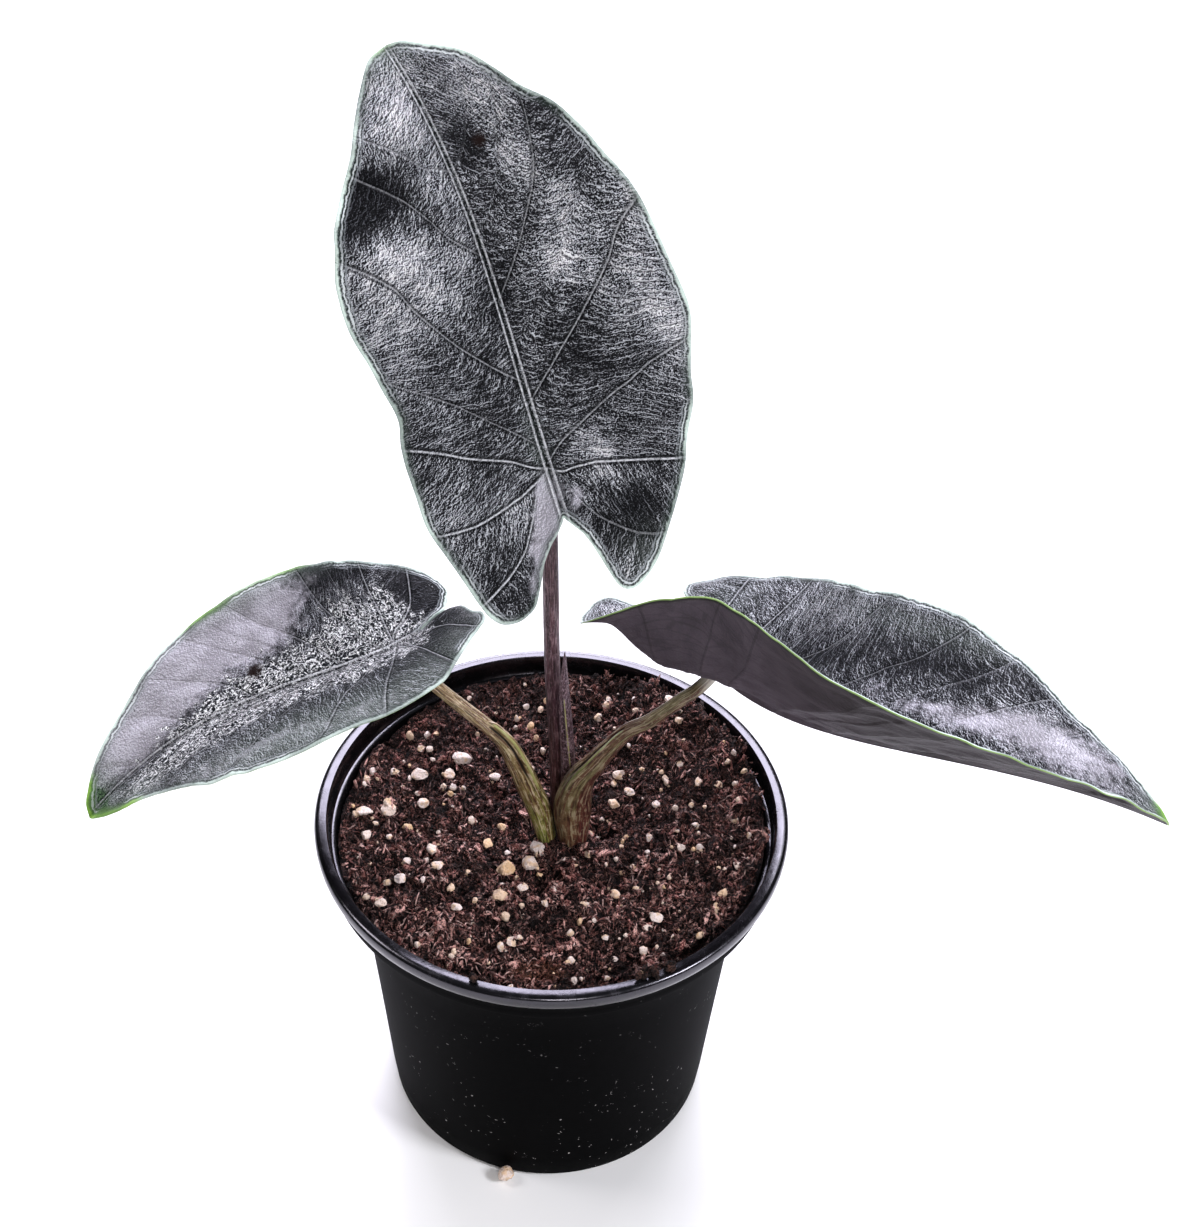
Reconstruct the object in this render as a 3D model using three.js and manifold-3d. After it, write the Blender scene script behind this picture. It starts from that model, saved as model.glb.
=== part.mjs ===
// Potted antoro velvet alocasia: three leaves and a new shoot in a round nursery pot.
// Millimetres, +Z up. The origin is the centre of the pot's flat base, and the front is -Y.
import * as THREE from 'three';
import { mergeVertices } from 'three/addons/utils/BufferGeometryUtils.js';
import Module from 'manifold-3d';

// Driving dimensions of the pot
const POT_HEIGHT = 98;
const RIM_RADIUS = 60;
const BEAD_RADIUS = 2.4;
const SKIRT_RADIUS = 58;
const SKIRT_FOOT = POT_HEIGHT - 9.5;
const SHOULDER_FOOT = POT_HEIGHT - 14.5;
const NECK_RADIUS = 50.4;
const BASE_RADIUS = 43;
const BASE_ROUND = 1.5;
const WALL = 1.2;
const RIM_BORE = 56.6;
const LEDGE_RADIUS = 54.8;
const LEDGE_HEIGHT = POT_HEIGHT - 5.5;
const SHELF_FOOT = SKIRT_FOOT - 0.5;
const DRAIN_HOLES = 8;
const DRAIN_RADIUS = 4;
const DRAIN_CIRCLE = 31;
const POT_SEGMENTS = 48;

// Driving dimensions of the potting mix: its level at the centre, how far it rises for each
// millimetre to the right and to the back, the hollow round the stems, and its waves
const MIX_LEVEL = 91.3;
const MIX_RISE = [0.0225, 0.038];
const MIX_HOLLOW = { depth: 1.3, spread: 170 };
const MIX_WAVES = [
  { height: 0.45, x: 0.21, y: 0, phase: 1.3 },
  { height: 0.35, x: 0.05, y: 0.19, phase: 0.4 },
  { height: 0.3, x: 0.33, y: -0.27, phase: 0 },
];
const MIX_RINGS = 11;
const MIX_SEGMENTS = 48;

// Clearance kept between pieces that touch, and a little more where both are faceted curves
const GAP = 0.3;
const FACET_GAP = 0.1;

// Leaf blades
const BLADE_THICKNESS = 0.8;
const RIB_DEPTH = 1.3;
const RIB_WIDTH = 1.8;
const VEIN_LEAD = 13;
const BLADE_COLUMNS = [0, 0.08, 0.3, 0.65, 1];
const MIDRIB_ROWS = 22;
const LOBE_ROWS = 16;
const LOBE_START = -0.02;
const ROW_SPREAD = 1.5;
const CREASE_WIDTH = 4;

// Stations along a blade, as parts of the midrib: lobes, petiole joint, middle and tip
const STATIONS = [-0.35, 0, 0.5, 1];

// Half outlines of a blade: place along the midrib and distance from it, from tip to sinus.
// They are drawn for a midrib of OUTLINE_LENGTH.
const OUTLINE_LENGTH = 98.5;
const COMMON_HALF = [
  [98.5, 0], [96.5, 4], [92, 9], [85, 14.5], [77, 20], [68, 26], [58, 30.5], [48, 33.5],
  [37, 34.5], [27, 34], [18, 32.7], [8, 32], [-2, 30.3], [-12, 26.5], [-21, 23], [-27, 19.5],
  [-30.5, 15], [-31, 11.5], [-29, 9], [-23, 6.5], [-18, 4.5], [-14.5, 2.2], [-12, 0],
];
const LEFT_FAR_HALF = [
  ...COMMON_HALF.slice(0, 18), [-29.9, 9.3], [-27.3, 6.6], [-22.8, 2], [-17.5, 0.7], [-12, 0],
];
const LEFT_NEAR_HALF = [
  ...COMMON_HALF.slice(0, 14), [-21, 23.5], [-26, 21.5], [-27.8, 18.5], [-27.6, 15], [-27.2, 11],
  [-27, 7], [-26, 3.2], [-22.5, 1], [-17, 0.4], [-12, 0],
];
const CENTRE_RIGHT_HALF = [
  [98.5, 0], [97.5, 3.4], [94.3, 7.5], [89.5, 13.4], [83.7, 17.3], [77.8, 21], [72.6, 25.7],
  [66.6, 28.9], [60, 31.5], [52.8, 34.8], [45.1, 36.6], [36.2, 37.8], [25.8, 39.3], [18.2, 38],
  [11.8, 36.1], [4.9, 35], [-3.7, 31.4], [-10.4, 28.9], [-20.6, 22.6], [-28.5, 17], [-32.2, 12.5],
  [-32.7, 9.5], [-31, 7.4], [-26.5, 6], [-21.5, 4.7], [-17, 3.2], [-13.6, 1.1], [-12, 0],
];
const CENTRE_LEFT_HALF = [
  [98.5, 0], [97, 4.9], [93.6, 8.6], [85.9, 14.8], [77.9, 20.1], [71.3, 24.8], [64.5, 29.7],
  [58.4, 32.2], [52.1, 34.3], [44.6, 34.8], [37.8, 33.6], [29.7, 31.7], [23.1, 30.2], [17.2, 31.4],
  [8.9, 31.6], [0.2, 31.5], [-11.8, 27.9], [-21, 25.5], [-25.2, 23.8], [-28, 21.3], [-29.2, 17.4],
  [-28.4, 14], [-26.5, 12.1], [-20.7, 8.7], [-17, 6], [-14.6, 3.3], [-12, 0],
];

// Each leaf: the four control points of its midrib from petiole joint to tip, its real midrib
// length, how far its upper face leans to the front and turns to the right in degrees, and for each
// half the fold at the midrib in degrees and the curl in degrees per millimetre at the stations.
// The right half is the one on the right of a viewer on the upper face who looks to the tip.
// Swells are places where the blade bulges up or down: place along and across the blade, right
// being positive, how far they reach both ways, and height.
const LEAVES = {
  left: {
    midrib: [[-39.3, 15, 139.6], [-57.7, 3, 137.1], [-88.5, 10.4, 127.3], [-115.4, -6.1, 98.9]],
    length: 91.2,
    breadth: 1.02,
    turn: 0,
    lean: [-19.3, 1.1, 2.2, 4.6],
    right: { outline: LEFT_FAR_HALF, fold: [2.9, 8.2, 12.5, 16.7], curl: [1.6, 0.37, 0.15, -0.04] },
    left: { outline: LEFT_NEAR_HALF, fold: [45.5, 39.5, 21.6, 23.9], curl: [-2.2, -1.1, -0.46, -0.19] },
    swells: [[-19, -2, 8, 7, 2.8]],
    colour: 0x4a4c52,
  },
  centre: {
    midrib: [[-2.3, 0, 208.3], [-12.4, 7.6, 240.7], [-19.7, 22.7, 268.9], [-38.1, 43, 286.2]],
    length: 97.6,
    breadth: 1,
    turn: 17,
    lean: [63, 62, 58, 54],
    right: { outline: CENTRE_RIGHT_HALF, fold: [8, 12, 12, 9], curl: [0, 0, 0, 0] },
    left: { outline: CENTRE_LEFT_HALF, fold: [8, 12, 12, 9], curl: [0, 0, 0, 0] },
    swells: [],
    colour: 0x3f4147,
  },
  right: {
    midrib: [[40.2, 9.2, 140.6], [58.3, -19.2, 138.8], [96.3, -36.6, 162.8], [137.7, -47.6, 148.1]],
    length: 116.3,
    breadth: 1.01,
    turn: 0,
    lean: [-44.5, -36.8, -22.1, -22.6],
    right: { outline: COMMON_HALF, fold: [-6.5, 11.8, 23.9, 29.2], curl: [-2.33, 1.57, 0.7, -0.43] },
    left: { outline: COMMON_HALF, fold: [-5.2, 29.8, 27.8, 18.8], curl: [1.29, 0.68, 0.26, -0.13] },
    swells: [[-5.8, 18.9, 14, 11, -8.5]],
    colour: 0x43454b,
  },
};

// Leaf stems: points of the centre line, then half width and half depth at equal steps along it.
// Each starts in the potting mix, and its last point is on its blade.
const STEM_SIDES = 10;
const STEM_STEPS = 20;
const STEM_FOOT = 80;
const STEMS = {
  left: {
    line: [[-1.4, -1.2, 89], [-3.7, 0, 99.5], [-6.2, 1, 106], [-9, 2.5, 112.4], [-12.4, 4, 118.6],
      [-17.8, 6, 123.1], [-25.2, 8.5, 128.5], [-31.5, 11.5, 132.6]],
    halfWidth: [2.4, 2.5, 3.1, 2.7, 2, 1.75, 1.65, 1.6],
    halfDepth: [2.7, 2.9, 2.8, 2.3, 1.9, 1.7, 1.6, 1.6],
    colour: 0x6f6a3a,
  },
  centre: {
    line: [[1.5, 7.8, 89], [0.8, 8, 112], [-0.4, 8.2, 134], [-1.1, 8, 156], [-1.6, 6.5, 180],
      [-2.2, 4, 196.5]],
    halfWidth: [2, 1.95, 1.9, 1.9, 1.85, 1.8],
    halfDepth: [2, 1.95, 1.9, 1.85, 1.8, 1.8],
    colour: 0x4d3135,
  },
  right: {
    line: [[5.4, -1.5, 89], [5.1, -1, 102], [6.8, -0.7, 110.3], [10.2, -0.2, 115.6],
      [13.9, 0.3, 120.9], [18.2, 1, 125.9], [23.5, 1.6, 129], [30.8, 3, 134.9], [35, 5.4, 136.6]],
    halfWidth: [3.6, 3.8, 4.8, 3.9, 2.8, 2.1, 1.75, 1.65, 1.65],
    halfDepth: [3.4, 3.6, 3.4, 2.9, 2.4, 2, 1.75, 1.65, 1.65],
    colour: 0x675a3c,
  },
};

// New shoot: a pointed sheath in front of the centre stem
const SHOOT = {
  line: [[4.6, 4.9, 89], [4.2, 4.9, 100], [3.7, 4.8, 112], [3, 4.8, 124], [2.4, 4.8, 136],
    [2.3, 4.8, 148.5]],
  halfWidth: [1.9, 2, 1.9, 1.7, 1.25, 0.25],
  halfDepth: [1.6, 1.7, 1.6, 1.4, 1.1, 0.25],
  colour: 0x5d4650,
};

// Perlite grains on the mix: place, length, width and turn in degrees
const GRAINS = [
  [-24, 23, 5.5, 4.2, 10], [-35, 17, 5.8, 3.5, 25], [-42, 6, 5, 3.4, -15], [-48, 5.5, 5, 3, 20],
  [-33, 8, 3.9, 3.2, 50], [-27, 17.5, 3.8, 3, 70], [-15, 17, 3.4, 2.6, 15], [-47.5, -2, 3.2, 3, 0],
  [-30, -7.5, 3.4, 3.2, 30], [-36, -11, 2.9, 2.4, 60], [-28.5, -13.5, 3.8, 3.2, -30],
  [-16, -4.5, 3.9, 2.7, 80], [-3.5, -7.5, 5.4, 4, 60], [-5, -12, 4.8, 4.2, -20],
  [-11.5, -13, 6.2, 4.2, 15], [-37.5, -17, 3.2, 2.9, 0], [-7, -19.5, 3.5, 2.6, 40],
  [-42, -24, 3.5, 3, -10], [-23, -26, 3, 2.6, 35], [-13, -23, 4.6, 4, 20], [-9, -36, 3.6, 2.8, -35],
  [16, -21, 3.4, 2.7, 55], [8.5, -25, 3.5, 2.2, 0], [9.5, -7.5, 3.2, 2.6, 45],
  [26, -29, 3.5, 2.6, -25], [32.5, -7.5, 2.8, 2.6, 0], [17.5, 18, 4.4, 3.4, -15],
  [20, 12.5, 3.6, 2.3, 30], [16, 8, 3.4, 3.2, 0], [47, -12, 2.9, 2.4, 20], [43, 15, 3, 2.4, 65],
  [33.5, 21.5, 3.2, 2.6, -40],
];
const GRAIN_HEIGHT = 0.72;
const FOOT_GRAIN = { angle: -103, size: 4.6 };

// Lumps: sides and rings of their mesh, and how uneven they are
const LUMP_SIDES = 7;
const LUMP_RINGS = 5;
const LUMP_SWELL = [0.12, 0.1];

// Clumps of mix that lie on the rim, as angle round the pot, length and width
const RIM_CLUMPS = [[-66.5, 6, 3.4], [-60.5, 3.6, 2.8], [-108, 2.6, 2]];

const wasm = await Module();
wasm.setup();

function vec(p) {
  return new THREE.Vector3(p[0], p[1], p[2]);
}

// Value at x of the smooth curve through (xs, ys), level beyond both ends
function smooth(x, xs, ys) {
  const last = xs.length - 1;
  const at = Math.min(Math.max(x, xs[0]), xs[last]);
  let i = 0;
  while (i < last - 1 && at > xs[i + 1]) i += 1;
  const slope = (k) => {
    const before = Math.max(k - 1, 0);
    const after = Math.min(k + 1, last);
    return (ys[after] - ys[before]) / (xs[after] - xs[before]);
  };
  const width = xs[i + 1] - xs[i];
  const f = (at - xs[i]) / width;
  const start = (2 * f ** 3 - 3 * f ** 2 + 1) * ys[i] + (f ** 3 - 2 * f ** 2 + f) * slope(i) * width;
  const end = (3 * f ** 2 - 2 * f ** 3) * ys[i + 1] + (f ** 3 - f ** 2) * slope(i + 1) * width;
  return start + end;
}

// Closed geometry from loose triangles: shared corners joined, empty triangles dropped
function closedGeometry(corners) {
  const loose = new THREE.BufferGeometry();
  loose.setAttribute('position', new THREE.Float32BufferAttribute(corners.flat(), 3));
  const joined = mergeVertices(loose, 1e-3);
  const index = [];
  for (let i = 0; i < joined.index.count; i += 3) {
    const [a, b, c] = [0, 1, 2].map((k) => joined.index.getX(i + k));
    if (a !== b && b !== c && c !== a) index.push(a, b, c);
  }
  joined.setIndex(index);
  joined.computeVertexNormals();
  return joined;
}

function toManifold(geometry) {
  const bare = geometry.clone();
  bare.deleteAttribute('normal');
  bare.deleteAttribute('uv');
  const joined = closedGeometry(positionsOf(bare));
  return new wasm.Manifold(new wasm.Mesh({
    numProp: 3,
    vertProperties: new Float32Array(joined.attributes.position.array),
    triVerts: new Uint32Array(joined.index.array),
  }));
}

// Corners of a geometry's triangles, one list of three numbers for each
function positionsOf(geometry) {
  const flat = geometry.index ? geometry.toNonIndexed() : geometry;
  const place = flat.attributes.position;
  return Array.from({ length: place.count }, (_, i) => [place.getX(i), place.getY(i), place.getZ(i)]);
}

function fromManifold(solid) {
  const mesh = solid.getMesh();
  const geometry = new THREE.BufferGeometry();
  geometry.setAttribute('position', new THREE.Float32BufferAttribute(mesh.vertProperties, 3));
  geometry.setIndex(Array.from(mesh.triVerts));
  geometry.computeVertexNormals();
  return geometry;
}

function part(name, geometry, colour, roughness) {
  const material = new THREE.MeshStandardMaterial({ color: colour, roughness, metalness: 0 });
  const mesh = new THREE.Mesh(geometry, material);
  mesh.name = name;
  return mesh;
}

// Solid of revolution about Z, from radius and height pairs in turn along its outline
function turned(profile) {
  const points = profile.map(([r, z]) => new THREE.Vector2(r, z));
  const geometry = new THREE.LatheGeometry(points, POT_SEGMENTS);
  geometry.rotateX(Math.PI / 2);
  return toManifold(geometry);
}

// Radius of the pot's inner wall at height z
function innerRadius(z) {
  const wallFoot = BASE_RADIUS - WALL;
  const wallTop = NECK_RADIUS - WALL;
  const { mapLinear } = THREE.MathUtils;
  return z < SHOULDER_FOOT
    ? mapLinear(z, WALL, SHOULDER_FOOT, wallFoot, wallTop)
    : mapLinear(Math.min(z, SHELF_FOOT), SHOULDER_FOOT, SHELF_FOOT, wallTop, LEDGE_RADIUS);
}

function nurseryPot() {
  const beadCentre = [RIM_RADIUS - BEAD_RADIUS, POT_HEIGHT - BEAD_RADIUS];
  const bead = [-55, -15, 25, 60, 90, 125].map((degrees) => {
    const a = THREE.MathUtils.degToRad(degrees);
    return [beadCentre[0] + BEAD_RADIUS * Math.cos(a), beadCentre[1] + BEAD_RADIUS * Math.sin(a)];
  });
  const body = turned([
    [0, 0], [BASE_RADIUS - BASE_ROUND, 0], [BASE_RADIUS - 0.4, 0.5], [BASE_RADIUS, BASE_ROUND],
    [NECK_RADIUS, SHOULDER_FOOT], [SKIRT_RADIUS - 0.6, SKIRT_FOOT - 0.6], [SKIRT_RADIUS, SKIRT_FOOT],
    ...bead, [RIM_BORE, POT_HEIGHT - 2], [RIM_BORE - 0.3, LEDGE_HEIGHT + 0.6],
    [LEDGE_RADIUS + 0.2, LEDGE_HEIGHT], [LEDGE_RADIUS, SHELF_FOOT],
    [innerRadius(SHOULDER_FOOT), SHOULDER_FOOT], [innerRadius(WALL), WALL], [0, WALL],
  ]);
  let pot = body;
  for (let i = 0; i < DRAIN_HOLES; i += 1) {
    const angle = (2 * Math.PI * (i + 0.5)) / DRAIN_HOLES;
    const hole = new THREE.CylinderGeometry(DRAIN_RADIUS, DRAIN_RADIUS, 6 * WALL, 16);
    hole.rotateX(Math.PI / 2);
    hole.translate(DRAIN_CIRCLE * Math.cos(angle), DRAIN_CIRCLE * Math.sin(angle), 0);
    pot = pot.subtract(toManifold(hole));
  }
  return pot;
}

// Height of the mix at a place: higher at the back right, hollow round the stems, gently uneven
function mixHeight(x, y) {
  const slope = MIX_RISE[0] * x + MIX_RISE[1] * y;
  const hollow = MIX_HOLLOW.depth * Math.exp(-(x * x + y * y) / MIX_HOLLOW.spread);
  const waves = MIX_WAVES.map((wave) => wave.height * Math.sin(wave.x * x + wave.y * y + wave.phase));
  return MIX_LEVEL + slope - hollow + waves.reduce((sum, wave) => sum + wave, 0);
}

// Mix as a closed body: uneven top in rings, a side that follows the pot GAP away, and a flat foot
function pottingMix() {
  const wallAt = (z) => innerRadius(z) - GAP - FACET_GAP;
  const radius = wallAt(POT_HEIGHT);
  const levels = [SHELF_FOOT - FACET_GAP, SHOULDER_FOOT - FACET_GAP, WALL + GAP];
  const ring = (r, height) => Array.from({ length: MIX_SEGMENTS }, (_, i) => {
    const a = (2 * Math.PI * i) / MIX_SEGMENTS;
    const [x, y] = [r * Math.cos(a), r * Math.sin(a)];
    return [x, y, height ?? mixHeight(x, y)];
  });
  const rings = [];
  for (let k = 1; k <= MIX_RINGS; k += 1) rings.push(ring((radius * k) / MIX_RINGS));
  for (const z of levels) rings.push(ring(wallAt(z), z));
  const corners = [];
  const top = [0, 0, mixHeight(0, 0)];
  const foot = [0, 0, levels.at(-1)];
  for (let i = 0; i < MIX_SEGMENTS; i += 1) {
    const next = (i + 1) % MIX_SEGMENTS;
    corners.push(top, rings[0][i], rings[0][next]);
    for (let k = 0; k + 1 < rings.length; k += 1) {
      corners.push(rings[k][i], rings[k + 1][i], rings[k + 1][next]);
      corners.push(rings[k][i], rings[k + 1][next], rings[k][next]);
    }
    corners.push(foot, rings.at(-1)[next], rings.at(-1)[i]);
  }
  return toManifold(closedGeometry(corners));
}

// Stem as rings of an ellipse along its centre line, closed at both ends
function stemGeometry(stem, end, grow = 0) {
  const foot = [stem.line[0][0], stem.line[0][1], STEM_FOOT - grow];
  const points = [foot, ...stem.line, ...(end ? [end] : [])].map(vec);
  const curve = new THREE.CatmullRomCurve3(points, false, 'centripetal');
  const marks = stem.halfWidth.map((_, i) => i / (stem.halfWidth.length - 1));
  const rings = [];
  for (let k = 0; k <= STEM_STEPS; k += 1) {
    const f = k / STEM_STEPS;
    const centre = curve.getPointAt(f);
    const along = curve.getTangentAt(f);
    const side = new THREE.Vector3().crossVectors(new THREE.Vector3(0, 1, 0), along).normalize();
    const depth = new THREE.Vector3().crossVectors(along, side);
    const width = smooth(f, marks, stem.halfWidth) + grow;
    const thick = smooth(f, marks, stem.halfDepth) + grow;
    rings.push(Array.from({ length: STEM_SIDES }, (_, i) => {
      const a = (2 * Math.PI * i) / STEM_SIDES;
      const p = centre.clone();
      p.addScaledVector(side, width * Math.cos(a));
      p.addScaledVector(depth, thick * Math.sin(a));
      return p.toArray();
    }));
  }
  const corners = [];
  const [first, final] = [curve.getPointAt(0).toArray(), curve.getPointAt(1).toArray()];
  for (let i = 0; i < STEM_SIDES; i += 1) {
    const next = (i + 1) % STEM_SIDES;
    corners.push(first, rings[0][next], rings[0][i]);
    for (let k = 0; k < STEM_STEPS; k += 1) {
      corners.push(rings[k][i], rings[k][next], rings[k + 1][next]);
      corners.push(rings[k][i], rings[k + 1][next], rings[k + 1][i]);
    }
    corners.push(final, rings[STEM_STEPS][i], rings[STEM_STEPS][next]);
  }
  return closedGeometry(corners);
}

// Frame of a blade at place s along its midrib: point, direction to the tip, right, and up
function bladeFrame(leaf, s) {
  const [p0, p1, p2, p3] = leaf.midrib.map(vec);
  const u = s / leaf.length;
  const curve = new THREE.CubicBezierCurve3(p0, p1, p2, p3);
  const within = Math.max(u, 0);
  const point = curve.getPoint(within);
  const along = curve.getTangent(within);
  point.addScaledVector(p1.clone().sub(p0), 3 * Math.min(u, 0));
  const turn = THREE.MathUtils.degToRad(leaf.turn);
  const lean = THREE.MathUtils.degToRad(smooth(u, STATIONS, leaf.lean));
  const up = new THREE.Vector3(
    Math.sin(turn),
    -Math.cos(turn) * Math.sin(lean),
    Math.cos(turn) * Math.cos(lean),
  );
  up.addScaledVector(along, -up.dot(along)).normalize();
  const right = new THREE.Vector3().crossVectors(along, up);
  return { u, point, along, up, right };
}

// Point of the blade at (s, t), t along the half from the midrib, raised by lift along its normal
function bladePoint(leaf, side, s, t, lift) {
  const { u, point, up, right } = bladeFrame(leaf, s);
  const half = side > 0 ? leaf.right : leaf.left;
  const fold = THREE.MathUtils.degToRad(smooth(u, STATIONS, half.fold));
  const curl = THREE.MathUtils.degToRad(smooth(u, STATIONS, half.curl));
  const halfTurn = (curl * t) / 2;
  const chord = Math.abs(halfTurn) > 1e-6 ? (t * Math.sin(halfTurn)) / halfTurn : t;
  point.addScaledVector(right, side * chord * Math.cos(fold + halfTurn));
  point.addScaledVector(up, chord * Math.sin(fold + halfTurn));
  for (const [centre, across, reach, breadth, height] of leaf.swells) {
    const [x, y] = [(s - centre) / reach, (side * t - across) / breadth];
    point.addScaledVector(up, height * Math.exp(-x * x - y * y));
  }
  const tilt = (fold + curl * t) * Math.min(1, t / CREASE_WIDTH);
  point.addScaledVector(right, -side * lift * Math.sin(tilt));
  point.addScaledVector(up, lift * Math.cos(tilt));
  return point.toArray();
}

// Depth of the blade below its middle surface: half its thickness, and the rib under the midrib
function underside(leaf, s, t) {
  const rib = RIB_DEPTH * THREE.MathUtils.clamp(1 - s / leaf.length, 0, 1);
  return BLADE_THICKNESS / 2 + rib * Math.exp(-((t / RIB_WIDTH) ** 2));
}

// Margin points of one half from tip to sinus. The first MIDRIB_ROWS stand at fixed places along the
// midrib, closer near the tip, so that both halves meet on it, and the rest go round the lobe.
function marginRows(leaf, outline) {
  const scale = leaf.length / OUTLINE_LENGTH;
  const points = outline.map(([s, t]) => new THREE.Vector3(s * scale, t * scale * leaf.breadth, 0));
  const curve = new THREE.CatmullRomCurve3(points, false, 'centripetal');
  const start = LOBE_START * leaf.length;
  const marks = [];
  for (let i = 0; i <= MIDRIB_ROWS; i += 1) {
    const s = start + (leaf.length - start) * (1 - (i / MIDRIB_ROWS) ** ROW_SPREAD);
    marks.push(i === 0 ? 0 : markWhere(curve, s));
  }
  const last = marks.at(-1);
  for (let i = 1; i <= LOBE_ROWS; i += 1) marks.push(last + ((1 - last) * i) / LOBE_ROWS);
  return marks.map((mark, i) => {
    const p = curve.getPoint(mark);
    return [p.x, i === 0 || i === marks.length - 1 ? 0 : Math.max(p.y, 0.05)];
  });
}

// First place on the curve, from 0 to 1, where it gets down to the given x
function markWhere(curve, x) {
  let [low, high] = [0, 1];
  for (let i = 0; i < 30; i += 1) {
    const middle = (low + high) / 2;
    if (curve.getPoint(middle).x > x) low = middle;
    else high = middle;
  }
  return high;
}

// Place on the midrib from which the side vein of margin row i starts
function veinRoot(leaf, i) {
  if (i >= MIDRIB_ROWS) return 0;
  const f = 1 - (i / MIDRIB_ROWS) ** ROW_SPREAD;
  const s = LOBE_START * leaf.length + (1 - LOBE_START) * leaf.length * f;
  return Math.max(0, s - VEIN_LEAD * (leaf.length / OUTLINE_LENGTH) * 4 * f * (1 - f));
}

function bladeGeometry(leaf, grow = 0) {
  const corners = [];
  for (const side of [1, -1]) {
    const rows = marginRows(leaf, side > 0 ? leaf.right.outline : leaf.left.outline);
    const grid = rows.map(([s, t], i) => {
      const root = veinRoot(leaf, i);
      return BLADE_COLUMNS.map((f) => {
        const [along, across] = [root + (s - root) * f, t * f];
        return {
          top: bladePoint(leaf, side, along, across, BLADE_THICKNESS / 2 + grow),
          under: bladePoint(leaf, side, along, across, -underside(leaf, along, across) - grow),
        };
      });
    });
    const face = (a, b, c) => corners.push(...(side > 0 ? [a, b, c] : [c, b, a]));
    const edge = BLADE_COLUMNS.length - 1;
    for (let i = 0; i + 1 < grid.length; i += 1) {
      const [row, next] = [grid[i], grid[i + 1]];
      for (let j = 0; j < edge; j += 1) {
        face(row[j].top, next[j].top, next[j + 1].top);
        face(row[j].top, next[j + 1].top, row[j + 1].top);
        face(next[j + 1].under, next[j].under, row[j].under);
        face(row[j + 1].under, next[j + 1].under, row[j].under);
      }
      face(row[edge].top, next[edge].top, next[edge].under);
      face(row[edge].top, next[edge].under, row[edge].under);
    }
  }
  return closedGeometry(corners);
}

// Uneven rounded lump about the origin with the given half sizes
function lumpGeometry(halfLength, halfWidth, halfHeight, seed) {
  const geometry = new THREE.SphereGeometry(1, LUMP_SIDES, LUMP_RINGS);
  const place = geometry.attributes.position;
  for (let i = 0; i < place.count; i += 1) {
    const [x, y, z] = [place.getX(i), place.getY(i), place.getZ(i)];
    const waves = [Math.sin(2.6 * x + seed), Math.cos(3.1 * y - z + 2 * seed)];
    const swell = 1 + LUMP_SWELL[0] * waves[0] + LUMP_SWELL[1] * waves[1];
    place.setXYZ(i, x * swell * halfLength, y * swell * halfWidth, z * swell * halfHeight);
  }
  return closedGeometry(positionsOf(geometry));
}

// Lowers a lump until it is GAP above the surface given by a height for each place
function seated(geometry, surface) {
  const clearances = positionsOf(geometry).map(([x, y, z]) => z - surface(x, y));
  geometry.translate(0, 0, GAP + FACET_GAP / 2 - Math.min(...clearances));
  return geometry;
}

function perliteGrain(grain, number) {
  const [x, y, length, width, turn] = grain;
  const geometry = lumpGeometry(length / 2, width / 2, (width / 2) * GRAIN_HEIGHT, number);
  geometry.rotateZ(THREE.MathUtils.degToRad(turn));
  geometry.translate(x, y, MIX_LEVEL);
  return seated(geometry, mixHeight);
}

function rimClump(clump, number) {
  const [degrees, length, width] = clump;
  const angle = THREE.MathUtils.degToRad(degrees);
  const radius = RIM_RADIUS - BEAD_RADIUS;
  const geometry = lumpGeometry(length / 2, width / 2, width / 3, number);
  geometry.rotateZ(angle + Math.PI / 2);
  geometry.translate(radius * Math.cos(angle), radius * Math.sin(angle), POT_HEIGHT);
  return seated(geometry, () => POT_HEIGHT);
}

// Grain beside the pot's foot: turned so that its nearest corner is GAP away from the wall
function footGrain() {
  const half = FOOT_GRAIN.size / 2;
  const geometry = seated(lumpGeometry(half, half, half, GRAINS.length), () => 0);
  const { mapLinear, degToRad } = THREE.MathUtils;
  const wallAt = (z) => mapLinear(z, BASE_ROUND, SHOULDER_FOOT, BASE_RADIUS, NECK_RADIUS);
  const reach = positionsOf(geometry).map(([x, y, z]) => Math.sqrt(wallAt(z) ** 2 - y * y) - x);
  geometry.translate(Math.max(...reach) + GAP, 0, 0);
  geometry.rotateZ(degToRad(FOOT_GRAIN.angle));
  return geometry;
}

// Upper end of a stem's centre line: on the rib at the leaf's petiole joint
function stemEnd(leaf) {
  const { point, up } = bladeFrame(leaf, 0);
  return point.addScaledVector(up, -underside(leaf, 0, 0)).toArray();
}

// Stem trimmed to fit under its blade, GAP away from it
function petiole(stem, leaf) {
  const whole = toManifold(stemGeometry(stem, stemEnd(leaf)));
  return whole.subtract(toManifold(bladeGeometry(leaf, GAP)));
}

const plant = new THREE.Group();

plant.add(part('nursery_pot', fromManifold(nurseryPot()), 0x141416, 0.35));

let mix = pottingMix();
for (const [side, stem] of Object.entries(STEMS)) {
  const leaf = LEAVES[side];
  mix = mix.subtract(toManifold(stemGeometry(stem, stemEnd(leaf), GAP)));
  plant.add(part(`petiole_${side}`, fromManifold(petiole(stem, leaf)), stem.colour, 0.55));
  plant.add(part(`leaf_blade_${side}`, bladeGeometry(leaf), leaf.colour, 0.4));
}
mix = mix.subtract(toManifold(stemGeometry(SHOOT, null, GAP)));
plant.add(part('new_shoot', stemGeometry(SHOOT, null), SHOOT.colour, 0.55));
plant.add(part('potting_mix', fromManifold(mix), 0x2b1813, 0.95));

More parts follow.
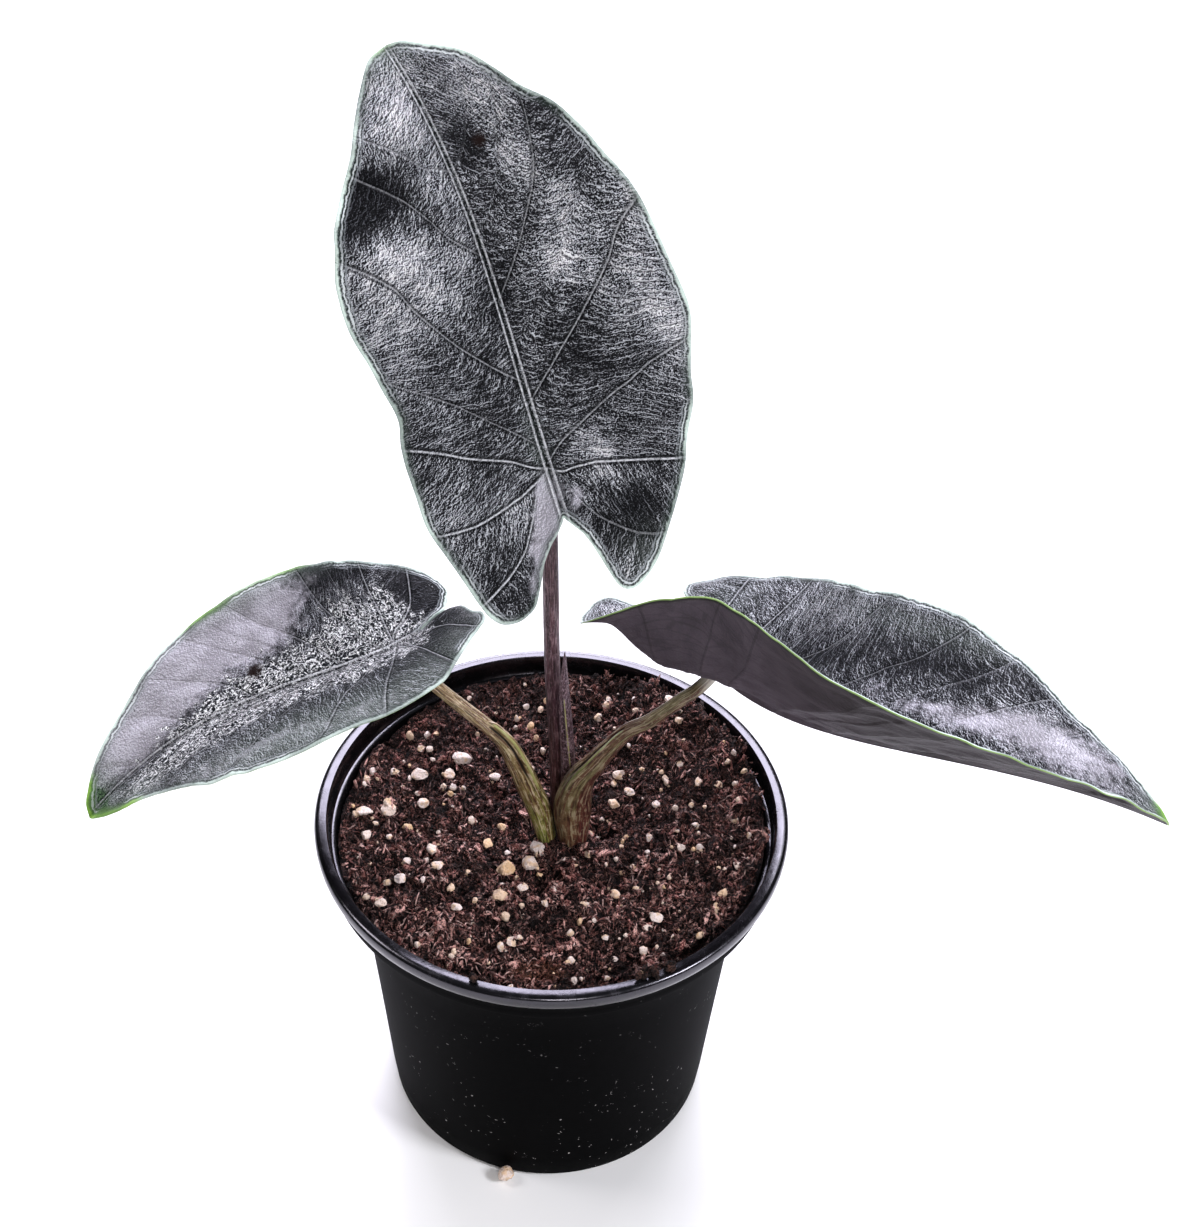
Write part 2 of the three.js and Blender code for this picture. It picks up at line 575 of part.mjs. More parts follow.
GRAINS.forEach((grain, i) => {
  const name = `perlite_grain_${String(i + 1).padStart(2, '0')}`;
  plant.add(part(name, perliteGrain(grain, i), 0xe8ded0, 0.85));
});
plant.add(part('perlite_grain_foot', footGrain(), 0xe8ded0, 0.85));
RIM_CLUMPS.forEach((clump, i) => {
  plant.add(part(`mix_clump_${i + 1}`, rimClump(clump, i), 0x2b1813, 0.95));
});

export default plant;
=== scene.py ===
"""Potted velvet alocasia: three quilted dark leaves and a new shoot in a round black nursery pot.

Lengths are written in millimetres and turned into metres when a mesh is made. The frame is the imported
model's: +Z up, origin at the centre of the pot's underside, front at -Y.
"""
import math

import bpy
import numpy as np
from mathutils import Matrix, Vector


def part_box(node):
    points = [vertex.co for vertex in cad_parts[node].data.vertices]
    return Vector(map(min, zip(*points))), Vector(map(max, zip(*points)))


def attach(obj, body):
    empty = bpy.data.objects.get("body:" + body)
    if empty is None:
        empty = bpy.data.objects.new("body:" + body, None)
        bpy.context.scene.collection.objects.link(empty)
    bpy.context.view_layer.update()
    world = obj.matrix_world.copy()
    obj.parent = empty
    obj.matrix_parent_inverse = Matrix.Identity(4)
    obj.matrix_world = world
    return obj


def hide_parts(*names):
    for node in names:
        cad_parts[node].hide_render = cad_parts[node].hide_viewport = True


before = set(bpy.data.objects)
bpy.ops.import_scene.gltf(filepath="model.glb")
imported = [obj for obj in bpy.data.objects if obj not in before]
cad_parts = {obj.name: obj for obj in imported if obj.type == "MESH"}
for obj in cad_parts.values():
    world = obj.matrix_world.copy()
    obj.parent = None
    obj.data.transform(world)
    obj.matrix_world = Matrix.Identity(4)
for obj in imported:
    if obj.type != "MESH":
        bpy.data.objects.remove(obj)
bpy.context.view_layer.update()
MM = 0.001

# Camera: place in millimetres, angles in degrees, focal length for the given long side, and the
# nearest and farthest distance that it sees, in metres
CAMERA = {"place": (0, -379.4, 509.3), "yaw": 1.55, "pitch": 42.17, "roll": 2.1,
          "lens": 64.55, "long_side": 36, "clip": (0.01, 50)}

# Softboxes: azimuth and elevation in degrees, width and height in metres, radiance and colour
LIGHT_TARGET = (0, 0, 0.17)
LIGHT_DISTANCE = 1.2
SOFTBOXES = {
    "window": (60, 36, (0.3, 0.36), 28.0, (0.95, 0.95, 1.0)),
    "front": (6, 32, (0.24, 0.3), 20.0, (1.0, 0.98, 0.98)),
    "left": (-103, 46, (0.5, 0.4), 8.0, (1.0, 0.97, 0.98)),
    "back": (183, 47, (0.95, 0.62), 9.5, (0.9, 0.88, 1.0)),
    "back_low": (181, 16, (0.5, 0.5), 9.5, (0.9, 0.88, 1.0)),
    "far_right": (146, 46, (0.3, 0.36), 7.0, (0.94, 0.94, 1.0)),
}
WORLD_COLOUR = (0.93, 0.94, 1.0, 1)
WORLD_STRENGTH = 0.08
FLOOR_REACH = 3000

# Seeds of what is drawn at random. Those of the mix's lumps and of the leaves stand with them.
SEEDS = {"crumbs": 41, "fibres": 43, "specks": 47, "clumps": 60, "grains": 100, "speck_shapes": 300,
         "bed_tone": 31, "blemishes": 5}

# Pot: outline from the centre of the underside round the wall and the rim to the inner floor, the
# wall's thickness, the height where its shine begins, and the angle in degrees of a sharp edge
POT_SEGMENTS = 240
POT_OUTSIDE = [
    (0, 0), (20, 0), (41.2, 0), (42.2, 0.3), (42.9, 1.4), (43.6, 8), (46.2, 40), (48.6, 68), (50.2, 82.6),
    (50.6, 83.6), (56.9, 87.7), (57.7, 88.2), (57.9, 88.9), (58, 90.5), (58.1, 92.4), (58.4, 92.9),
    (59.1, 93.4), (59.6, 94.1), (59.9, 95), (60, 95.8), (60, 96.4), (59.94, 96.95), (59.76, 97.4),
    (59.45, 97.7), (59, 97.89), (58.4, 97.97), (57.4, 98), (57, 97.96), (56.75, 97.7),
]
POT_INSIDE = [
    (56.55, 96.2), (56.35, 94), (56.2, 93.1), (55.8, 92.6), (55.2, 92.5), (54.85, 92.2), (54.75, 90),
    (54.7, 88), (49.3, 83.5), (49.1, 82.5), (45.6, 44), (42.1, 4), (41.6, 1.5), (40.8, 1.2), (20, 1.2),
    (0, 1.2),
]
WALL = 1.2
SHINY_ABOVE = 92.8
POT_SHARP = 40
DRAIN = {"holes": 8, "radius": 4, "circle": 31}

# Potting mix: level, rise to the right and back, hollow round the stems, waves, a bank at the back right,
# more mix along the right wall, a reddish spot at the front, and a pit by the stems. Paler is how much
# darker the crumbs get with each millimetre to the back. Lumps and swells: height, width and seed.
MIX_LEVEL = 91.3
MIX_RISE = (0.0225, 0.038)
MIX_HOLLOW = {"depth": 1.3, "spread": 170}
MIX_WAVES = [(0.45, 0.21, 0, 1.3), (0.35, 0.05, 0.19, 0.4), (0.3, 0.33, -0.27, 0)]
MIX_BANK = {"place": (37, 38), "height": 3.6, "spread": (11, 36)}
MIX_EDGE = {"height": 2.2, "reach": 5, "middle": -15}
MIX_EMBER = {"place": (-3, -45), "reach": (8, 4)}
MIX_PIT = {"place": (13.5, 2), "depth": 5.0, "radius": 4.6}
MIX_PALER = 0.0025
MIX_RADIUS = 54.3
MIX_WALL = [(54.3, 88.0), (48.9, 83.4), (41.9, 4.0), (41.4, 1.6), (0, 1.6)]
MIX_LUMPS = [(1.9, 3.8, 21), (1.0, 1.9, 22)]
MIX_SWELLS = [(0.45, 1.0, 23), (1.0, 8, 24)]
MIX_LOWERED = 1.5
MIX_RINGS = 88
MIX_SEGMENTS = 340
STEM_CLEARING = {"place": (1, 1), "radius": 6}
EDGE_CRUMBS_ABOVE = 94.5
CRUMBS = 8800
FIBRES = 7200
SPECKS = 270

# Shades of mix: dark, middle, pale, and of its pale grain
# The bed is near-black: painted shade for the gaps between the crumbs
BED_SHADES = ((0.003, 0.0015, 0.0015), (0.02, 0.008, 0.007), (0.1, 0.045, 0.04), (0.2, 0.1, 0.09))
CRUMB_SHADES = ((0.004, 0.0016, 0.0016), (0.24, 0.088, 0.08), (1.0, 0.62, 0.56), (0.86, 0.48, 0.42))
FIBRE_SHADES = ((0.006, 0.0025, 0.0025), (0.42, 0.18, 0.165), (1.0, 0.7, 0.64), (0.95, 0.6, 0.54))
RIM_CRUMB_SHADES = ((0.012, 0.006, 0.005), (0.05, 0.022, 0.016), (0.14, 0.07, 0.05), (0.1, 0.05, 0.04))

# Perlite: flat cuts of a grain, least and most, its pits, the depth that it is sunk, the angle in
# degrees of a sharp edge, and how tan the stained ones are, by number
GRAIN_CUTS = (9, 15)
GRAIN_PITS = 8
GRAIN_SUNK = 0.8
GRAIN_SHARP = 16
TAN_GRAINS = {12: 1.0, 15: 0.9, 20: 0.8, 22: 0.5, 24: 0.5, 27: 0.3, 29: 0.6}

# Blade outlines of half a leaf, from tip to sinus: place along the midrib and distance from it
OUTLINE_LENGTH = 98.5
COMMON_HALF = [
    (98.5, 0), (96.5, 4), (92, 9), (85, 14.5), (77, 20), (68, 26), (58, 30.5), (48, 33.5), (37, 34.5),
    (27, 34), (18, 32.7), (8, 32), (-2, 30.3), (-12, 26.5), (-21, 23), (-27, 19.5), (-30.5, 15),
    (-31, 11.5), (-29, 9), (-23, 6.5), (-18, 4.5), (-14.5, 2.2), (-12, 0),
]
LEFT_FAR_HALF = [*COMMON_HALF[:18], (-29.9, 9.3), (-27.3, 6.6), (-22.8, 2), (-17.5, 0.7), (-12, 0)]
LEFT_NEAR_HALF = [
    *COMMON_HALF[:14], (-21, 23.5), (-26, 21.5), (-27.8, 18.5), (-27.6, 15), (-27.2, 11), (-27, 7),
    (-26, 3.2), (-22.5, 1), (-17, 0.4), (-12, 0),
]
CENTRE_RIGHT_HALF = [
    (98.5, 0), (97.5, 3.4), (94.3, 7.5), (89.5, 13.4), (83.7, 17.3), (77.8, 21), (72.6, 25.7),
    (66.6, 28.9), (60, 31.5), (52.8, 34.8), (45.1, 36.6), (36.2, 37.8), (25.8, 39.3), (18.2, 38),
    (11.8, 36.1), (4.9, 35), (-3.7, 31.4), (-10.4, 28.9), (-20.6, 22.6), (-28.5, 17), (-32.2, 12.5),
    (-32.7, 9.5), (-31, 7.4), (-26.5, 6), (-21.5, 4.7), (-17, 3.2), (-13.6, 1.1), (-12, 0),
]
CENTRE_LEFT_HALF = [
    (98.5, 0), (97, 4.9), (93.6, 8.6), (85.9, 14.8), (77.9, 20.1), (71.3, 24.8), (64.5, 29.7),
    (58.4, 32.2), (52.1, 34.3), (44.6, 34.8), (37.8, 33.6), (29.7, 31.7), (23.1, 30.2), (17.2, 31.4),
    (8.9, 31.6), (0.2, 31.5), (-11.8, 27.9), (-21, 25.5), (-25.2, 23.8), (-28, 21.3), (-29.2, 17.4),
    (-28.4, 14), (-26.5, 12.1), (-20.7, 8.7), (-17, 6), (-14.6, 3.3), (-12, 0),
]

# Side veins of half a leaf from tip to sinus: strength, then points from the midrib to the margin
COMMON_VEINS = [
    (0.7, [(67, 0), (70, 5), (74, 9), (83, 16)]),
    (0.9, [(48, 0), (54, 6.5), (61, 11), (67, 15), (75, 21.5)]),
    (0.6, [(33, 0), (40, 7), (49, 14), (57, 20), (65, 27.5)]),
    (1.0, [(19, 0), (27, 8.5), (36, 16), (44, 22), (53, 32)]),
    (1.0, [(4, 0), (9, 6), (14, 12), (21, 20), (28, 34)]),
    (0.8, [(0, 0), (4, 9), (8, 17), (11, 24), (13, 32.4)]),
    (1.1, [(0, 0), (-1.5, 6), (-3, 12), (-4.5, 20), (-7, 28.5)]),
    (1.1, [(0, 0), (-3, 4), (-9, 6.5), (-15, 10.5), (-19, 16), (-22.5, 22.2)]),
]
CENTRE_RIGHT_VEINS = [
    (0.5, [(67, 0), (71, 4), (78, 8), (91, 11.8)]),
    (0.5, [(53, 0), (59, 6), (68, 10.5), (77, 14), (86, 15.9)]),
    (1.0, [(38, 0), (41, 2.5), (45.6, 6.1), (52.4, 10.7), (61.4, 16.2), (68.7, 18.4), (74.8, 19.6),
           (80, 19.6)]),
    (0.4, [(27, 0), (36, 9), (46, 17.5), (54, 23.5), (62, 30.7)]),
    (1.1, [(15, 0), (24.2, 9.8), (33.3, 19.2), (39.6, 25.2), (45.3, 29.3), (50, 35.6)]),
    (1.1, [(1, 0), (4.6, 4.1), (8.4, 11.2), (11.5, 17.5), (13.5, 22.4), (16.3, 28.3), (19, 38.2)]),
    (1.3, [(0, 0), (-1.4, 2.6), (-1.3, 5.9), (-1.8, 10.7), (-4.4, 20), (-7.6, 30)]),
    (0.9, [(0, 0), (-3.2, 2.7), (-7.7, 3.9), (-13.4, 7.3), (-17.4, 11.1), (-20.6, 15.4), (-22.5, 21.4)]),
]
CENTRE_LEFT_VEINS = [
    (0.7, [(67, 0), (68.5, 2.4), (69.9, 5.9), (73.3, 8.7), (82, 17.6)]),
    (1.0, [(48, 0), (54.3, 6.5), (60.7, 10), (66.2, 13.9), (75, 22.2)]),
    (0.4, [(33, 0), (40, 6.5), (49, 13.5), (58, 19.5), (67, 28)]),
    (1.1, [(20, 0), (26, 6.5), (34.4, 14), (43.2, 20.1), (48.5, 22.9), (58, 32.3)]),
    (0.9, [(5, 0), (11.2, 6.1), (15.9, 11.2), (20.8, 16.5), (23.8, 20.5), (32, 32.3)]),
    (1.2, [(0, 0), (2, 3.9), (5.2, 8.3), (9.8, 17.7), (12.6, 22.3), (15.4, 27.8), (17, 31.4)]),
    (1.3, [(0, 0), (-1.9, 5), (-3.5, 11.5), (-3.9, 20), (-2.5, 28), (-1.5, 31)]),
    (1.3, [(0, 0), (-3, 3.9), (-8.6, 7.4), (-14.8, 11.5), (-17.8, 16.4), (-20.3, 22.3), (-21.3, 25.4)]),
]

# Leaves: midrib control points, its length, breadth, turn and lean of the upper face, then for each
# half its outline, veins, fold at the midrib and curl in degrees per millimetre at the stations.
# Places are along the midrib and across it, right being +. Swells are large bulges: place, reach both
# ways, and height. Dimples are smaller ones: place, radius and height. Zones are soft ovals of painted
# sheen, of painted glints on painted shade in scales, of painted silvery highlights and of green skin:
# place, reach both ways, and strength. Margin is the width of the pale edge. Blemishes are brown
# spots: place and radius.
STATIONS = (-0.35, 0, 0.5, 1)
LEAVES = {
    "left": {
        "midrib": [(-39.3, 15, 139.6), (-57.7, 3, 137.1), (-88.5, 10.4, 127.3), (-115.4, -6.1, 98.9)],
        "length": 91.2, "breadth": 1.02, "turn": 0, "lean": (-19.3, 1.1, 2.2, 4.6),
        "right": {"outline": LEFT_FAR_HALF, "veins": COMMON_VEINS,
                  "fold": (2.9, 8.2, 12.5, 16.7), "curl": (1.6, 0.37, 0.15, -0.04)},
        "left": {"outline": LEFT_NEAR_HALF, "veins": COMMON_VEINS,
                 "fold": (45.5, 39.5, 21.6, 23.9), "curl": (-2.2, -1.1, -0.46, -0.19)},
        "swells": [(-19, -2, 8, 7, 2.8)],
        "dimples": [(4, 14, 5, 0.9), (26, 26, 7, 0.7), (12, 24, 5, 0.5), (60, 14, 9, 0.6),
                    (40, -20, 9, 0.5)],
        "zones": {
            "satin": [(64, 17, 20, 14, 1.3), (46, 26, 18, 7, 0.8), (78, 8, 9, 8, 1.0), (38, 18, 10, 8, 0.8),
                      (26, 26, 14, 6, 0.35), (45, -25, 30, 4, 0.6), (12, -28, 14, 3.5, 0.35)],
            "scaly": [(15, 3, 28, 8, 1.2), (10, 13, 9, 7, 1.1), (-6, 13, 5, 6, 0.9), (46, 0, 22, 6, 1.2),
                      (58, -10, 16, 5, 1.0), (74, -9, 8, 5, 0.9), (-3, -6, 8, 7, 0.8),
                      (24, -9, 20, 5, 0.7)],
            "silver": [(40, -21, 26, 5, 0.15), (-24, 13, 12, 10, -1.0), (14, 29, 26, 6, -0.7),
                       (-18, -16, 14, 12, -0.9), (14, -20, 26, 8, -0.3)],
            "green": [(30, -26, 36, 8, 0.8), (-14, -20, 16, 8, 0.25), (90, 0, 8, 12, 1.4),
                      (82, -14, 12, 6, 0.9), (64, 29, 26, 4, 1.0), (82, 17.5, 9, 4, 1.0),
                      (22, 33, 24, 4, 0.8)],
        },
        "margin": 1.1, "blemishes": [(43.4, 7.6, 2.1), (42.9, -5.9, 0.8)], "seed": 3,
    },
    "centre": {
        "midrib": [(-2.3, 0, 208.3), (-12.4, 7.6, 240.7), (-19.7, 22.7, 268.9), (-38.1, 43, 286.2)],
        "length": 97.6, "breadth": 1, "turn": 17, "lean": (63, 62, 58, 54),
        "right": {"outline": CENTRE_RIGHT_HALF, "veins": CENTRE_RIGHT_VEINS,
                  "fold": (8, 12, 12, 9), "curl": (0, 0, 0, 0)},
        "left": {"outline": CENTRE_LEFT_HALF, "veins": CENTRE_LEFT_VEINS,
                 "fold": (8, 12, 12, 9), "curl": (0, 0, 0, 0)},
        "swells": [],
        "dimples": [(66, -21, 8, -2), (51, -20, 10, 2), (80, -8, 9, 1), (73, 9, 7, -1.6), (61, 22, 7, 1.2),
                    (67, 25, 5, -1), (42, 15, 6, 1), (28, 28, 9, 1.2), (37, 33, 6, 0.8), (4, 24, 7, -1),
                    (14, -19, 8, -0.8), (-11, -3, 5, 1.6), (-10, 8, 5, 0.8), (30, -24, 8, 0.9)],
        "zones": {
            "satin": [(86, -4.5, 11, 3.5, 0.4), (-5, -2, 5, 3, 1.3), (-11, -4.5, 5, 3, 1.3),
                      (-17, -8.5, 5, 2.4, 1.1), (-23, -12, 4, 1.8, 0.7), (-8, 4, 4, 2.2, 0.7),
                      (54, -22, 5, 7, 0.2)],
            "silver": [(90, -5, 10, 8, 0.5), (77, -9, 9, 6, 0.45), (67, -4, 11, 3.5, 0.35),
                       (76, -17, 5, 4, 0.15), (53, -21, 8, 11, 0.65), (43, -14, 7, 8, 0.3),
                       (37, -27, 9, 8, 0.35), (50, -4, 6, 4, 0.2), (64, 14, 7, 4, 0.45),
                       (54, 20, 7, 5, 0.35), (42, 15, 6, 5, 0.6), (51, 34, 6, 3, 0.5),
                       (38, 28, 12, 8, 0.45), (22, 34, 10, 5, 0.5), (2, 11, 7, 4, 0.45),
                       (-5, 13, 6, 3, 0.35), (-6, -10, 7, 5, 0.4), (-1, -24, 8, 5, 0.3),
                       (84, 11, 9, 6, 0.3), (78, 16, 6, 5, 0.3), (-27, 11, 3, 3, 0.5),
                       (68, -20, 6, 9, -1.1), (62, -25, 5, 6, -0.4), (41, 1, 8, 4, -0.35),
                       (20, 15, 9, 7, -0.2), (29, 13, 7, 5, -0.2), (24, -33, 6, 4, -0.4),
                       (-16, 15, 8, 7, -0.6), (-21, -19, 8, 8, -0.25), (70, 5, 6, 4, -0.4),
                       (20, -8, 14, 7, -0.15), (66, 25, 6, 4, -0.3)],
            "green": [(4, -1, 9, 2.2, 0.7), (-27, 16, 7, 7, 0.4), (97, -2, 5, 9, 0.7)],
        },
        "margin": 1.0, "blemishes": [(71, 8.2, 1.6)], "seed": 7,
    },
    "right": {
        "midrib": [(40.2, 9.2, 140.6), (58.3, -19.2, 138.8), (96.3, -36.6, 162.8), (137.7, -47.6, 148.1)],
        "length": 116.3, "breadth": 1.01, "turn": 0, "lean": (-44.5, -36.8, -22.1, -22.6),
        "right": {"outline": COMMON_HALF, "veins": COMMON_VEINS,
                  "fold": (-6.5, 11.8, 23.9, 29.2), "curl": (-2.33, 1.57, 0.7, -0.43)},
        "left": {"outline": COMMON_HALF, "veins": COMMON_VEINS,
                 "fold": (-5.2, 29.8, 27.8, 18.8), "curl": (1.29, 0.68, 0.26, -0.13)},
        "swells": [(-5.8, 18.9, 14, 11, -8.5)],
        "dimples": [(36, -27, 8, 0.9), (55, -16, 8, 0.9), (68, -23, 7, -1), (79, -14, 8, 0.9)],
        "zones": {
            "satin": [(98, -8, 15, 9, 0.75), (83, -13, 11, 6, 0.7), (69, -11, 10, 4, 0.7),
                      (55, -11, 9, 3.5, 0.5), (43, -15, 7, 4, 0.4)],
            "silver": [(22, -31, 16, 8, 0.3), (0, -26, 10, 8, 0.2), (-28, 14, 6, 6, 0.5),
                       (84, -14, 14, 8, 0.2), (60, -25, 20, 7, -0.45), (20, -18, 10, 7, -0.5),
                       (38, -26, 12, 7, -0.25)],
            "green": [(118, 0, 8, 12, 1.3), (-22, -16, 9, 8, 0.3), (60, -34, 40, 4, 0.4)],
        },
        "margin": 1.0, "blemishes": [], "seed": 11,
    },
}
ROW_PITCH = 0.52
COLUMNS = 50
COLUMN_CROWDING = 0.5
BLADE_THICKNESS = 0.5
CREASE_WIDTH = 4
RIB = {"depth": 1.5, "width": 1.6}
QUILT = {"height": 0.55, "width": 2.4}
VEIN_COUNT = 8

# Stems: points of the centre line, half widths and half depths at equal steps, and the sheath's wing:
# its place round the stem in degrees at foot and end, part of the stem where it ends, and height.
# Look: name, colours of foot, body, streaks, bloom and lips, the most streaked side, the top's colour
# and how far it is spotted.
STEM_FOOT = 80
STEM_RINGS = 130
STEM_SIDES = 64
STEMS = {
    "petiole_left": {
        "piece": "left_stem",
        "look": ("stem_left", (0.27, 0.29, 0.075), (0.27, 0.19, 0.088), (0.11, 0.024, 0.02),
                 (0.72, 0.6, 0.42), (0.42, 0.44, 0.16), 7.6),
        "line": [(-1.4, -1.2, 89), (-3.7, 0, 99.5), (-6.2, 1, 106), (-9, 2.5, 112.4), (-12.4, 4, 118.6),
                 (-17.8, 6, 123.1), (-25.2, 8.5, 128.5), (-31.5, 11.5, 132.6)],
        "half_width": (2.4, 2.5, 3.1, 2.7, 2, 1.75, 1.65, 1.6),
        "half_depth": (2.7, 2.9, 2.8, 2.3, 1.9, 1.7, 1.6, 1.6),
        "wing": {"turn": (-62, -30), "end": 0.62, "height": 1.0},
    },
    "petiole_centre": {
        "piece": "centre_stem",
        "look": ("stem_centre", (0.11, 0.05, 0.056), (0.08, 0.036, 0.046), (0.024, 0.009, 0.014),
                 (0.3, 0.2, 0.22), (0.46, 0.46, 0.14), 8.5),
        "line": [(1.5, 7.8, 89), (0.8, 8, 112), (-0.4, 8.2, 134), (-1.1, 8, 156), (-1.6, 6.5, 180),
                 (-2.2, 4, 196.5)],
        "half_width": (2, 1.95, 1.9, 1.9, 1.85, 1.8),
        "half_depth": (2, 1.95, 1.9, 1.85, 1.8, 1.8),
        "wing": {"turn": (-30, 10), "end": 0.42, "height": 0.5},
    },
    "petiole_right": {
        "piece": "right_stem",
        "look": ("stem_right", (0.18, 0.095, 0.055), (0.2, 0.17, 0.085), (0.12, 0.032, 0.028),
                 (0.48, 0.41, 0.28), (0.24, 0.3, 0.1), 15.0, (0.66, 0.63, 0.58)),
        "line": [(5.4, -1.5, 89), (5.1, -1, 102), (6.8, -0.7, 110.3), (10.2, -0.2, 115.6),
                 (13.9, 0.3, 120.9), (18.2, 1, 125.9), (23.5, 1.6, 129), (30.8, 3, 134.9),
                 (35, 5.4, 136.6)],
        "half_width": (3.6, 3.8, 4.8, 3.9, 2.8, 2.1, 1.75, 1.65, 1.65),
        "half_depth": (3.4, 3.6, 3.4, 2.9, 2.4, 2, 1.75, 1.65, 1.65),
        "wing": {"turn": (-128, -150), "end": 0.66, "height": 1.0},
    },
    "new_shoot": {
        "piece": "young_shoot",
        "look": ("shoot", (0.12, 0.07, 0.085), (0.1, 0.055, 0.07), (0.035, 0.012, 0.022),
                 (0.34, 0.25, 0.27), (0.52, 0.52, 0.22), 8.0, None, 0.6),
        "line": [(4.6, 4.9, 89), (4.2, 4.9, 100), (3.7, 4.8, 112), (3, 4.8, 124), (2.4, 4.8, 136),
                 (2.3, 4.8, 148.5)],
        "half_width": (1.9, 2, 1.9, 1.7, 1.25, 0.25),
        "half_depth": (1.6, 1.7, 1.6, 1.4, 1.1, 0.25),
        "wing": {"turn": (-60, -100), "end": 0.8, "height": 0.3},
    },
}


def smooth(x, xs, ys):
    """Values at x of the smooth curve through (xs, ys), level beyond both ends. ys may hold points."""
    xs, ys = np.asarray(xs, float), np.asarray(ys, float)
    x = np.clip(np.asarray(x, float), xs[0], xs[-1])
    i = np.clip(np.searchsorted(xs, x, side="right") - 1, 0, len(xs) - 2)
    before, after = np.maximum(np.arange(len(xs)) - 1, 0), np.minimum(np.arange(len(xs)) + 1, len(xs) - 1)
    shape = (-1,) + (1,) * (ys.ndim - 1)
    slopes = (ys[after] - ys[before]) / (xs[after] - xs[before]).reshape(shape)
    width = xs[i + 1] - xs[i]
    f = (x - xs[i]) / width
    if ys.ndim > 1:
        f, width = f[..., None], width[..., None]
    start = (2 * f**3 - 3 * f**2 + 1) * ys[i] + (f**3 - 2 * f**2 + f) * slopes[i] * width
    return start + (3 * f**2 - 2 * f**3) * ys[i + 1] + (f**3 - f**2) * slopes[i + 1] * width


def step(x, low, high):
    """0 below low, 1 above high, smooth between."""
    f = np.clip((x - low) / (high - low), 0, 1)
    return f * f * (3 - 2 * f)


def along_points(points, parts, power=1.0):
    """Points at the given parts of the smooth curve through points."""
    points = np.asarray(points, float)
    steps = np.linalg.norm(np.diff(points, axis=0), axis=1) ** power
    knots = np.concatenate([[0], np.cumsum(steps)]) / steps.sum()
    return smooth(parts, knots, points)


def even_points(points, count, power=1.0):
    """The smooth curve through points at even steps, with the length up to each."""
    dense = along_points(points, np.linspace(0, 1, 3000), power)
    length = np.concatenate([[0], np.cumsum(np.linalg.norm(np.diff(dense, axis=0), axis=1))])
    marks = np.linspace(0, length[-1], count)
    return np.stack([np.interp(marks, length, dense[:, k]) for k in range(dense.shape[1])], 1), marks


def lattice_noise(x, y, seed):
    """Smooth noise between -1 and 1 with a step of 1, the same for the same seed."""
    table = np.random.default_rng(seed).uniform(-1, 1, (64, 64))
    xi, yi = np.floor(x).astype(int), np.floor(y).astype(int)
    fx, fy = x - xi, y - yi
    fx, fy = fx * fx * (3 - 2 * fx), fy * fy * (3 - 2 * fy)
    a, b = table[xi % 64, yi % 64], table[(xi + 1) % 64, yi % 64]
    c, d = table[xi % 64, (yi + 1) % 64], table[(xi + 1) % 64, (yi + 1) % 64]
    return (a * (1 - fx) + b * fx) * (1 - fy) + (c * (1 - fx) + d * fx) * fy


def layered_noise(x, y, seed, layers=3):
    """Noise of several sizes added up, each half as high and half as wide as the one before."""
    return sum(lattice_noise(x * 2**k, y * 2**k, seed + k) / 2**k for k in range(layers))


def circle(sides):
    """Angles of the points of a ring."""
    return np.linspace(0, 2 * math.pi, sides, endpoint=False)


def tube_faces(rings, sides):
    """Faces of a tube of rings of points, closed at both ends."""
    index = np.arange(rings * sides).reshape(rings, sides)
    after = np.roll(index, -1, 1)
    quads = np.stack([index[:-1], after[:-1], after[1:], index[1:]], -1).reshape(-1, 4).tolist()
    return [*quads, index[0, ::-1].tolist(), index[-1].tolist()]


def turned_body(outline, sides):
    """Points and faces of radii and heights turned about Z, from the axis at the top to the axis."""
    points = [(r * math.cos(a), r * math.sin(a), z) for r, z in outline[1:-1] for a in circle(sides)]
    index = 1 + np.arange(len(points)).reshape(-1, sides)
    after = np.roll(index, -1, 1)
    faces = np.stack([index[:-1], index[1:], after[1:], after[:-1]], -1).reshape(-1, 4).tolist()
    for a, b, c, d in zip(*(row.tolist() for row in (index[0], after[0], index[-1], after[-1]))):
        faces += [[0, a, b], [len(points) + 1, d, c]]
    return np.array([(0, 0, outline[0][1]), *points, (0, 0, outline[-1][1])]), faces


def ball(rings, sides):
    """Points and faces of a unit ball with the given rings and sides."""
    return turned_body([(math.sin(a), math.cos(a)) for a in np.linspace(0, math.pi, rings + 1)], sides)


def columns(*grids):
    """Values of each point in one row, from grids with a value for each point."""
    return np.stack([grid.ravel() for grid in np.broadcast_arrays(*grids)], -1)


def mesh_object(name, points, faces, attributes=(), face_slots=None, smooth_faces=True):
    """Mesh object from points in millimetres, with named values or vectors for its points."""
    mesh = bpy.data.meshes.new(name)
    mesh.from_pydata((np.asarray(points) * MM).tolist(), [], faces)
    mesh.validate()
    for key, values in dict(attributes).items():
        values = np.asarray(values, np.float32)
        kind = "FLOAT" if values.ndim == 1 else "FLOAT_VECTOR"
        layer = mesh.attributes.new(key, kind, "POINT")
        layer.data.foreach_set("value" if values.ndim == 1 else "vector", values.ravel())
    mesh.polygons.foreach_set("use_smooth", [smooth_faces] * len(mesh.polygons))
    if face_slots is not None:
        mesh.polygons.foreach_set("material_index", face_slots)
    piece = bpy.data.objects.new(name, mesh)
    bpy.context.collection.objects.link(piece)
    return piece


def settle(piece, nodes=(), materials=()):
    """Gives a piece its materials, body, and the nodes that it stands for."""
    for material in materials:
        piece.data.materials.append(material)
    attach(piece, "root")
    if nodes:
        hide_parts(*nodes)
    return piece


def boxes(prefix):
    """Number, name, low corner and high corner in millimetres of the nodes with the given prefix."""
    for number, node in enumerate(sorted(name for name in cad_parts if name.startswith(prefix))):
        yield number, node, *(np.array(corner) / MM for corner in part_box(node))


